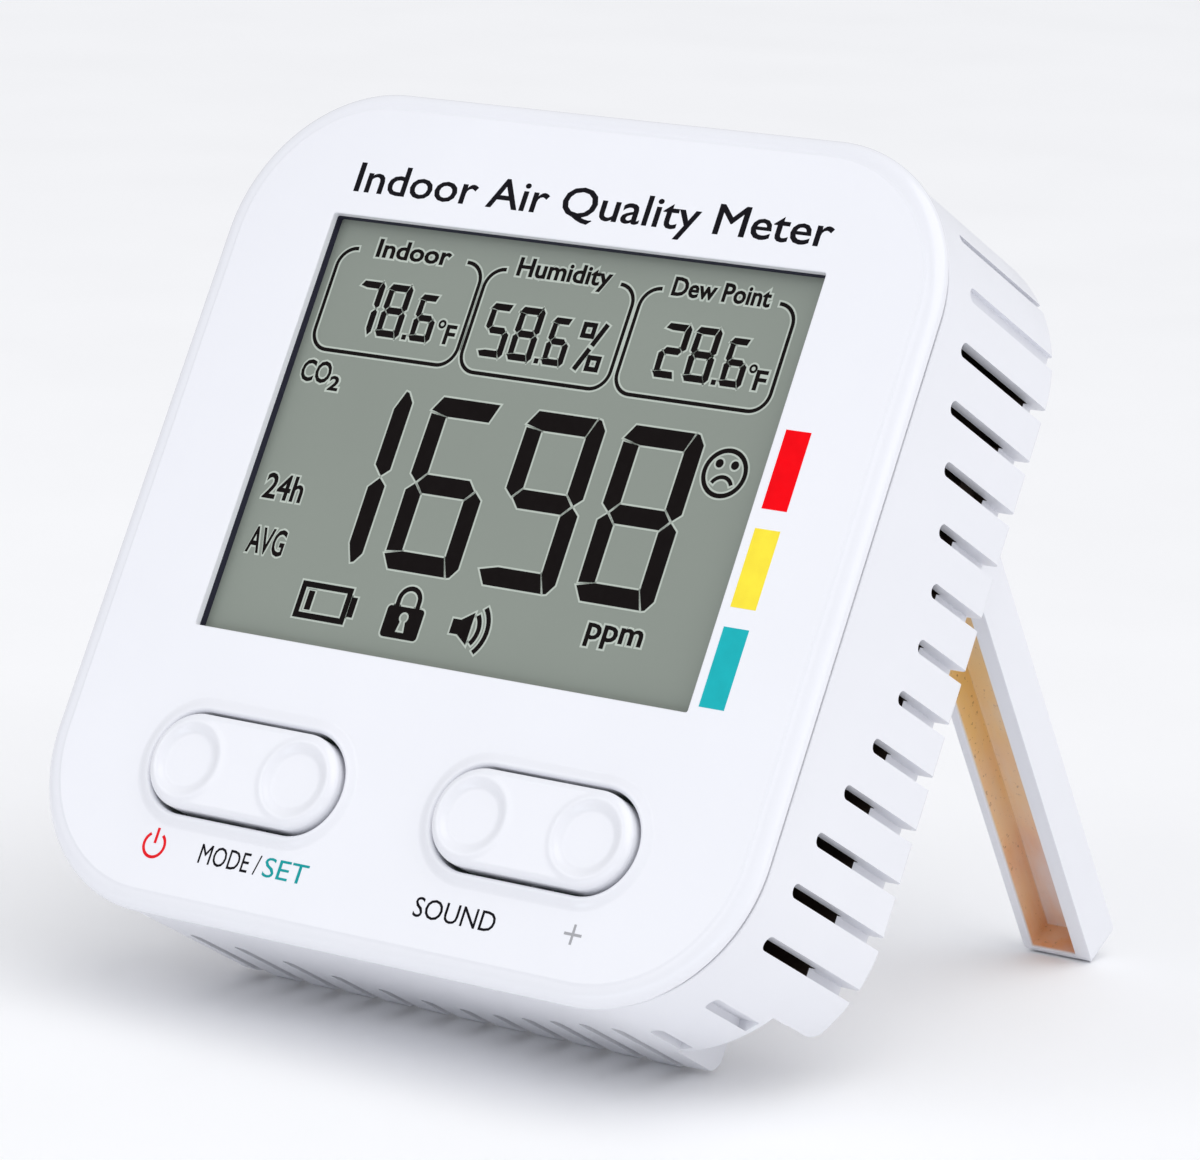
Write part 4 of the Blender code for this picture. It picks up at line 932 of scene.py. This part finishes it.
def rocker_cap(side, material):
    """Glossy pill cap, lofted through ever smaller pill outlines and closed along its middle line."""
    name = "rocker_left" if side < 0 else "rocker_right"
    length = OPENING_LENGTH - 2 * CAP_CLEARANCE
    height = OPENING_HEIGHT - 2 * CAP_CLEARANCE
    insets = [CAP_ROUND * (step / 8) ** 2 for step in range(8)]
    insets += [CAP_ROUND + (height / 2 - 0.04 * MM - CAP_ROUND) * step / 26 for step in range(27)]
    rows = [(CAP_BACK, ROCKER_WALL), (SKIRT_BACK, ROCKER_WALL), (SKIRT_BACK, 0.0), (CAP_BACK, 0.0)]
    rows += [(None, inset) for inset in insets]
    rings = []
    for y, inset in rows:
        outline = pill_outline(length - 2 * inset, height - 2 * inset, steps=28, side_steps=48)
        rings.append([(u, (cap_depth(u, v, inset) if y is None else y) - ROCKER_AXIS_Y, v)
                      for u, v in outline])
    cap = Solid(loft(name, rings, stripped_end))
    root = CAP_BACK - OVERLAP - ROCKER_AXIS_Y
    hub_half = height / 2 - 3 * SKIRT_INSET
    cap.join(box("hub", (-HUB_HALF_WIDTH, root, -hub_half), (HUB_HALF_WIDTH, HUB_BACK, hub_half)))
    cap.join(cylinders("pins", ROCKER_PIN_RADIUS, [both_ways((0, 0, 0), ROCKER_PIN_REACH, "Z")]))
    ends = [((x, root, 0), (x, PRESSER_END_Y - ROCKER_AXIS_Y, 0)) for x in (-SWITCH_X, SWITCH_X)]
    cap.join(cylinders("pressers", PRESSER_RADIUS, ends))
    matrix = CASE @ Matrix.Translation((side * ROCKER_X, ROCKER_AXIS_Y, ROCKER_Z))
    piece(name + "_cap", cap.mesh(), material, name, matrix, [name], 60)


# ---- marks on the display and the face

def stroke(points, width):
    """Outline of an open line of constant width with square ends."""
    left, right = [], []
    points = [point for i, point in enumerate(points) if i == 0 or math.dist(point, points[i - 1]) > 0.05]
    for i, (u, v) in enumerate(points):
        before = points[max(i - 1, 0)]
        after = points[min(i + 1, len(points) - 1)]
        run, rise = after[0] - before[0], after[1] - before[1]
        size = math.hypot(run, rise)
        across = (-rise / size * width / 2, run / size * width / 2)
        left.append((u + across[0], v + across[1]))
        right.append((u - across[0], v - across[1]))
    return left + right[::-1]


def in_mm(outlines, centre=(0.0, 0.0)):
    return [[((u + centre[0]) * MM, (v + centre[1]) * MM) for u, v in outline] for outline in outlines]


def rectangle(left, right, bottom, top):
    return [(left, bottom), (right, bottom), (right, top), (left, top)]


def segments(w, h, t, gap):
    """Outlines of the segments, t thick, of a digit w wide and h high, from its lower left corner."""
    mid, c, g = h / 2, t * 0.55, gap / 2
    upper_left = [(0, mid + t * 0.45), (t * 0.45, mid + g), (t, mid + t * 0.62), (t, h - t - g * 0.6),
                  (0.1, h - c - t * 0.38)]
    lower_left = [(u, h - v) for u, v in upper_left][::-1]
    upper_right = [(w, mid + t * 0.45), (w, h - c), (w - c * 0.7, h - 0.1), (w - t * 0.62 + g, h),
                   (w - t + g * 0.2, h - t), (w - t, mid + t * 0.62), (w - t * 0.45, mid + g)]
    lower_right = [(u, h - v) for u, v in upper_right][::-1]
    top = [(0.0, h - c - t * 0.2), (c * 0.9, h), (w - t * 0.62 - g, h), (w - t - g, h - t), (t + 0.15, h - t)]
    bottom = [(u, h - v) for u, v in top][::-1]
    middle = [(t * 0.45 + gap, mid), (t + g * 0.6, mid + t / 2), (w - t - g * 0.6, mid + t / 2),
              (w - t * 0.45 - gap, mid), (w - t - g * 0.6, mid - t / 2), (t + g * 0.6, mid - t / 2)]
    return {"a": top, "b": upper_right, "c": lower_right, "d": bottom, "e": lower_left, "f": upper_left,
            "g": middle}


# Lit segments of each figure: a is the top one, b to f follow clockwise, g is in the middle
LIT = {"1": "bc", "2": "abged", "5": "afgcd", "6": "afgedc", "7": "abc", "8": "abcdefg", "9": "abcdfg"}


def digit(figure, left, bottom, w, h, t, gap):
    """One group of a single outline for each lit segment of a figure."""
    shapes = segments(w, h, t, gap)
    return [[[(u + left, v + bottom) for u, v in shapes[name]]] for name in LIT[figure]]


def open_box(left, right, bottom, top, gap_left, gap_right):
    """Rounded box drawn as one line, left open along its top between two places."""
    corner, width = 2.6, 0.48
    points = [(gap_left, top)]
    for centre, start in (((left + corner, top - corner), 90), ((left + corner, bottom + corner), 180),
                          ((right - corner, bottom + corner), 270), ((right - corner, top - corner), 360)):
        points += circle(corner, centre, 10, start, 90)
    return [stroke(points + [(gap_right, top)], width)]


def battery_icon(x, z):
    return [[rectangle(x, x + 8.0, z, z + 4.8), rectangle(x + 0.75, x + 7.25, z + 0.75, z + 4.05)],
            [rectangle(x + 8.1, x + 9.0, z + 1.1, z + 3.7)],
            [rectangle(x + 1.4, x + 2.3, z + 1.15, z + 3.65)]]


def padlock_icon(x, z):
    body = rounded_outline((5.6, 4.1, 0.5), 0, (x + 2.8, z + 2.05), 4)
    keyhole = circle(0.72, (x + 2.8, z + 2.75), 20, -55, 290) + [(x + 2.15, z + 0.8), (x + 3.45, z + 0.8)]
    arch = [(x + 1.25, z + 4.1)] + circle(1.55, (x + 2.8, z + 5.0), 20, 180, -180) + [(x + 4.35, z + 4.1)]
    return [[body, keyhole], [stroke(arch, 0.62)]]


def speaker_icon(x, z):
    cone = [(x, z - 0.95), (x + 1.2, z - 0.95), (x + 2.9, z - 2.1), (x + 2.9, z + 2.1), (x + 1.2, z + 0.95),
            (x, z + 0.95)]
    return [[cone]] + [[stroke(circle(radius, (x + 1.1, z), 16, -angle, 2 * angle), 0.62)]
                       for radius, angle in ((3.0, 38), (4.3, 42))]


def frown_icon(x, z):
    ring = [circle(3.2, (x, z), 64), circle(2.62, (x, z), 64)]
    eyes = [[circle(0.55, (x + side * 1.12, z + 1.15), 20)] for side in (-1, 1)]
    mouth = stroke(circle(1.55, (x, z - 2.05), 20, 25, 130), 0.5)
    return [ring, *eyes, [mouth]]


def percent_icon(x, z, h):
    """A percent sign in the style of the segments."""
    square, line = 2.1, 0.62
    shapes = []
    for left, bottom in ((x - 0.1, z + h - square), (x + 2.0, z)):
        shapes.append([rectangle(left, left + square, bottom, bottom + square),
                       rectangle(left + line, left + square - line, bottom + line, bottom + square - line)])
    for low, high in ((0.0, 0.46), (0.53, 1.0)):
        start, end = (x + 0.55 + 2.9 * low, z + h * low), (x + 0.55 + 2.9 * high, z + h * high)
        shapes.append([stroke([start, end], 0.7)])
    return shapes


def word(body, left, right, baseline, height, low, high, grow=0.0, middle=WINDOW_Z):
    """Plain lettering facing -Y, stretched to reach from left to right, above or below a middle height."""
    scale = height * MM / (7.2 * MM)
    curve = bpy.data.curves.new("text", "FONT")
    curve.body = body
    curve.size = 10 * MM
    curve.extrude = 0.01 * MM
    curve.bevel_depth = grow / scale
    curve.bevel_resolution = 0
    curve.resolution_u = 3
    mesh = baked(curve)
    near = min(vert.co.x for vert in mesh.vertices) + grow / scale
    far = max(vert.co.x for vert in mesh.vertices) - grow / scale
    thick = max(vert.co.z for vert in mesh.vertices)
    for vert in mesh.vertices:
        x, y, z = vert.co
        vert.co = (left * MM + (x - near) * (right * MM - left * MM) / (far - near),
                   (low + high) / 2 - z / thick * (high - low) / 2, middle + baseline * MM + y * scale)
    return cleaned("text", mesh, 1e-7)


def display_shapes():
    """Groups of outlines of everything that the display shows, in millimetres from the window's middle."""
    shapes = []
    for figure, left in (("1", -29.0), ("6", -14.1), ("9", 0.6), ("8", 15.2)):
        shapes += digit(figure, left, -16.4, 11.6, 22.9, 2.45, 0.32)
    for left, bottom, whole, part in ((-31.1, 13.2, "78", "6"), (-10.2, 12.5, "58", "6"),
                                      (16.2, 12.9, "28", "6")):
        for place, figure in enumerate(whole):
            shapes += digit(figure, left + place * 4.45, bottom, 3.75, 7.1, 0.88, 0.2)
        shapes.append([rectangle(left + 8.75, left + 9.4, bottom, bottom + 0.65)])
        shapes += digit(part, left + 9.75, bottom, 3.3, 6.3, 0.82, 0.18)
    shapes += percent_icon(4.2, 12.4, 6.3)
    for left, base in ((-17.4, 15.6), (29.7, 15.3)):
        shapes.append([circle(radius, (left + 0.6, base + 0.3), 20) for radius in (0.58, 0.28)])
    shapes += [open_box(-36.0, -13.3, 10.5, 24.4, -33.4, -16.1), open_box(-12.5, 10.2, 10.2, 24.1, -9.9, 7.6),
               open_box(11.2, 33.8, 10.2, 24.2, 13.8, 31.1)]
    return (shapes + battery_icon(-24.8, -24.5) + padlock_icon(-10.9, -25.0) + speaker_icon(-0.8, -22.2)
            + frown_icon(30.9, 2.1))


# Words with their left and right ends, baseline and height of capitals, in millimetres
DISPLAY_WORDS = (
    ("Indoor", -30.4, -18.9, 23.7, 2.45), ("Humidity", -8.2, 6.0, 23.6, 2.45),
    ("Dew Point", 15.3, 29.6, 23.6, 2.45), ("CO", -35.9, -31.3, 6.1, 2.9), ("2", -31.0, -29.6, 5.3, 1.9),
    ("24h", -35.5, -29.5, -9.9, 3.4), ("AVG", -35.3, -29.6, -17.2, 3.5), ("ppm", 18.8, 26.8, -20.8, 3.0),
    ("F", -15.9, -14.5, 13.4, 2.6), ("F", 31.0, 32.5, 13.0, 2.6))
WORD_WEIGHT = 0.09 * MM


def marks(grow, low, high):
    """Everything that the display shows, grown outwards by a margin."""
    drawn = [slab("mark", in_mm(group, (0, WINDOW_Z / MM)), low, high, grow=grow) for group in display_shapes()]
    return join_meshes("marks", drawn + [word(*row, low, high, grow + WORD_WEIGHT) for row in DISPLAY_WORDS])


def display(ground, dark, pale):
    """The display's panel, its dark marks and the paler fringe round them."""
    low, high = case_box("lcd_glass")
    profile = edge_profile(low.y, high.y, (0.25 * MM, 0.25 * MM), (0.25 * MM, 0.25 * MM), 3)
    mesh = plate("display_panel", profile, (high.x - low.x, high.z - low.z, 0.4 * MM),
                 ((low.x + high.x) / 2, (low.z + high.z) / 2), 4)
    piece("display_panel", mesh, ground, "case", stands_for=["lcd_glass"])
    for name, material, grow, proud in (("display_halo", pale, 0.25 * MM, 0.02 * MM),
                                        ("display_segments", dark, 0.0, 0.05 * MM)):
        piece(name, marks(grow, low.y - proud, low.y + 0.01 * MM), material, "case")


def case_box(node):
    """Lowest and highest corner of a CAD node in the case's own frame."""
    back = CASE.inverted()
    points = [back @ vert.co for vert in frame["nodes"][node].data.vertices]
    return [Vector(choose(point[i] for point in points) for i in range(3)) for choose in (min, max)]


def face_print():
    """Generic marks printed on the front: the level scale, a plain title and the button labels."""
    low, high = -0.02 * MM, 0.01 * MM

    def printed(name, meshes, material):
        piece(name, join_meshes(name, meshes), material, "case")

    for name, colour, top, bottom in (("scale_high", (0.93, 0.0, 0.005), 8.0, -2.1),
                                      ("scale_middle", (1.0, 0.80, 0.055), -4.6, -14.6),
                                      ("scale_low", (0.014, 0.45, 0.49), -17.1, -27.2)):
        outline = rectangle(38.9 * MM, 42.5 * MM, WINDOW_Z + bottom * MM, WINDOW_Z + top * MM)
        printed(name, [slab(name, [outline], low, high)], ink(name, colour))
    words = [word("Indoor Air Quality Meter", -35.6, 36.8, 31.35, 4.1, low, high, 0.06 * MM),
             word("MODE /", -25.0, -15.6, -48.0, 2.6, low, high, middle=0.0),
             word("SOUND", 8.6, 20.6, -48.9, 2.6, low, high, middle=0.0)]
    printed("face_lettering", words, ink("print_black", (0.006, 0.005, 0.008)))
    printed("set_label", [word("SET", -14.9, -8.2, -48.0, 2.6, low, high, middle=0.0)],
            ink("print_teal", (0.010, 0.33, 0.34)))
    u, v = -32.3, -46.9
    power = [stroke(circle(1.6, (u, v), 32, 125, 290), 0.4), rectangle(u - 0.2, u + 0.2, v + 0.2, v + 2.2)]
    printed("power_symbol", [slab("power", in_mm([outline]), low, high) for outline in power],
            ink("print_red", (0.80, 0.012, 0.02)))
    u, v, arm, half = 31.7, -47.1, 1.25, 0.17
    corner, cross = [(-arm, -half), (-half, -half), (-half, -arm)], []
    for _ in range(4):
        cross += [(u + x, v + y) for x, y in corner]
        corner = [(-y, x) for x, y in corner]
    printed("plus_symbol", [slab("plus", in_mm([cross]), low, high)], ink("print_grey", (0.40, 0.40, 0.42)))


# ---- inner pieces

def finish_inner_nodes():
    """Materials of the CAD nodes that stay: electronics, contacts and screws."""
    looks = {
        "black_plastic": plain_detail("black_moulding", (0.022, 0.022, 0.024), 0.42, grain=2600.0),
        "circuit_board": circuit_green(),
        "elastomer": banded_elastomer(),
        "chamber_gold": plain_detail("gold_plate", (0.83, 0.60, 0.24), 0.24, 1.0, grain=1800.0),
        "membrane": plain_detail("filter_cloth", (0.82, 0.82, 0.78), 0.85, grain=4200.0,
                                 grain_depth=0.05 * MM, grain_strength=0.8),
        "spring_steel": plain_detail("nickel", STEEL, 0.26, 1.0, grain=2200.0),
        "screw_steel": plain_detail("zinc", (0.34, 0.34, 0.36), 0.33, 1.0, grain=1900.0),
        "lead_red": plain_detail("lead_red", (0.55, 0.015, 0.015), 0.45),
        "lead_black": plain_detail("lead_black", (0.015, 0.015, 0.015), 0.45),
    }
    for row in frame["record"]["subparts"]:
        look = looks.get(row["material_slot"])
        if look:
            materials = frame["nodes"][row["node"]].data.materials
            materials.clear()
            materials.append(look)


def circuit_green():
    """Solder mask over a faint pattern of tracks."""
    nodes = Nodes("circuit_green")
    tracks = nodes.add("TexVoronoi", nodes.place, "Vector", Scale=420.0)
    tracks.feature = "DISTANCE_TO_EDGE"
    edge = tracks.outputs["Distance"]
    return nodes.surface(nodes.ramp(edge, (0.04, (0.05, 0.30, 0.12)), (0.10, (0.015, 0.13, 0.05))),
                         nodes.spread(nodes.noise(300.0, 3.0), 0.28, 0.42), edge, 0.2, 0.02 * MM)


def banded_elastomer():
    """Pink rubber with the fine dark lines of its conducting layers."""
    nodes = Nodes("banded_elastomer")
    wave = nodes.add("TexWave", nodes.place, "Vector", Scale=1400.0).outputs["Fac"]
    bands = nodes.ramp(wave, (0.4, (0.04, 0.03, 0.03)), (0.6, (0.55, 0.22, 0.22)))
    nodes.link(bands, nodes.shader, "Base Color")
    nodes.link(nodes.spread(nodes.noise(400.0), 0.6, 0.8), nodes.shader, "Roughness")
    return nodes.material


def cell_jacket():
    """Plain printed film with a paler band at the button end, over steel ends."""
    nodes = Nodes("cell_film")
    place = nodes.add("SeparateXYZ", nodes.place, "Vector").outputs
    squares = [nodes.maths("MULTIPLY", place[axis], place[axis]) for axis in "XY"]
    film = nodes.spread(nodes.maths("ADD", *squares), 0.0, 1.0, (FILM_EDGE - 0.05 * MM) ** 2, FILM_EDGE ** 2)
    band = nodes.spread(place["Z"], 0.0, 1.0, FILM_BAND_Z, FILM_BAND_Z + 0.1 * MM)
    blue = nodes.mottle(30.0, (0.012, 0.045, 0.14), (0.018, 0.060, 0.17))
    pale = nodes.mottle(60.0, (0.50, 0.50, 0.49), (0.58, 0.58, 0.56))
    nodes.link(nodes.spread(film, 1.0, 0.0, 0.0, 1.0), nodes.shader, "Metallic")
    colour = nodes.mix(film, STEEL, nodes.mix(band, blue, pale))
    return nodes.surface(colour, nodes.spread(nodes.noise(200.0), 0.30, 0.36), nodes.noise(250.0, 1.0), 0.1,
                         0.01 * MM)


def battery_cells(film):
    """Four AA cells, each one upside down to the next, with rolled film edges and a steel button."""
    for number in range(4):
        cell = "battery_%d" % (number + 1)
        low, high = case_box(cell)
        radius, half = (high.x - low.x) / 2, (high.z - low.z) / 2
        shoulder = half - NUB_HEIGHT
        ends = [(FILM_EDGE - 0.5 * MM, 0.0), (FILM_EDGE - 0.35 * MM, 0.25 * MM),
                (FILM_EDGE - 0.05 * MM, 0.25 * MM), (FILM_EDGE, 0.12 * MM), (FILM_EDGE + 0.35 * MM, 0.03 * MM),
                (radius - 0.3 * MM, 0.15 * MM), (radius - 0.07 * MM, 0.45 * MM), (radius, 0.9 * MM)]
        profile = [(out, depth - half) for out, depth in ends]
        profile += [(radius, FILM_BAND_Z - 0.01 * MM), (radius, FILM_BAND_Z + 0.11 * MM)]
        profile += [(out, shoulder - depth) for out, depth in ends[:1:-1]]
        profile += [(NUB_RADIUS + 0.35 * MM, shoulder - 0.25 * MM), (NUB_RADIUS, shoulder - 0.1 * MM),
                    (NUB_RADIUS - 0.05 * MM, half - 0.3 * MM), (NUB_RADIUS - 0.3 * MM, half)]
        mesh = loft("cell", [[(x, y, z) for x, y in circle(out, (0, 0), 64)] for out, z in profile])
        place = CASE @ Matrix.Translation((low + high) / 2) @ Matrix.Rotation(math.pi * (number % 2), 4, "X")
        piece("battery_cell_%d" % (number + 1), mesh, film, "case", place, [cell])


# ---- camera, floor and light

def facing(place, direction):
    """Matrix of a camera or light at a place, with its back towards a direction."""
    return Matrix.Translation(place) @ direction.to_track_quat("Z", "Y").to_matrix().to_4x4()


def add_camera():
    """The photographer's camera, as recovered from the perspective of the photo."""
    azimuth, elevation = math.radians(CAMERA_AZIMUTH), math.radians(CAMERA_ELEVATION)
    away = Vector((math.sin(azimuth) * math.cos(elevation), -math.cos(azimuth) * math.cos(elevation),
                   math.sin(elevation)))
    data = bpy.data.cameras.new("camera")
    data.lens, data.sensor_width = CAMERA_LENS, CAMERA_SENSOR
    data.clip_start, data.clip_end = 0.01, 20
    place = facing(Vector(CAMERA_AIM) + away * CAMERA_DISTANCE, away)
    roll = Matrix.Rotation(math.radians(CAMERA_ROLL), 4, "Z")
    bpy.context.scene.camera = make_object("camera", data, place @ roll)


def add_area_light(name, place, size, power, colour=(1, 1, 1)):
    """A rectangular light turned towards the middle of the object."""
    data = bpy.data.lights.new(name, "AREA")
    data.shape = "RECTANGLE"
    data.size, data.size_y = size
    data.energy, data.color = power, colour
    make_object(name, data, facing(place, Vector(place) - Vector((0, 0, 0.05))))


def add_surroundings():
    """Pale floor, soft studio light and a bright even surround."""
    bm = bmesh.new()
    bmesh.ops.create_grid(bm, x_segments=8, y_segments=8, size=3.0)
    floor = make_object("floor", mesh_from(bm, "floor"), Matrix.Translation((0, 0, -0.1 * MM)))
    paper = plain_detail("floor_paper", (0.968, 0.97, 0.98), 0.75, change=0.004, tint_scale=6.0, grain=900.0,
                         grain_depth=0.02 * MM, grain_strength=0.1)
    floor.data.materials.append(paper)
    world = bpy.data.worlds.new("surround")
    world.use_nodes = True
    background = world.node_tree.nodes["Background"]
    background.inputs["Color"].default_value = (0.96, 0.97, 1.0, 1.0)
    background.inputs["Strength"].default_value = 0.6
    bpy.context.scene.world = world
    sun = bpy.data.lights.new("sky_light", "SUN")
    sun.energy, sun.angle = 1.24, math.radians(70)
    make_object("sky_light", sun, facing((0, 0, 0), Vector((0.50, -0.10, 0.95))))
    add_area_light("soft_box", (-0.42, -0.62, 0.62), (0.45, 0.45), 0.8)
    add_area_light("side_light", (0.95, -0.25, 0.25), (0.5, 0.6), 0.75)
    add_area_light("low_light", (0.1, -0.9, 0.04), (1.2, 0.08), 0.65, (0.80, 0.88, 1.0))
    bpy.context.scene.view_settings.view_transform = "Standard"


# ---- assembly

add_camera()
gloss = gloss_white()
satin = satin_white()
front_shell(gloss)
# A dark navy frame as painted shadow round the inside of the window
window_shadow_gasket(plain_detail("shadow_gasket_foam", (0.012, 0.012, 0.03), 0.8))
# Dark brown painted shade for the inside of the shell seen through the slots, and a painted shadow line in the
# seam
painted_shade = plain_detail("shaded_inside", (0.042, 0.024, 0.016), 0.8, change=0.25, tint_scale=160.0)
rear_case(satin, painted_shade)
battery_door(satin)
leg_finish = leg_white()
for side in (-1, 1):
    fold_out_leg(side, leg_finish)
    rocker_cap(side, gloss)
display(display_ground(), ink("segment_dark", (0.005, 0.003, 0.003)), ink("segment_edge", (0.50, 0.55, 0.49)))
face_print()
battery_cells(cell_jacket())
finish_inner_nodes()
add_surroundings()
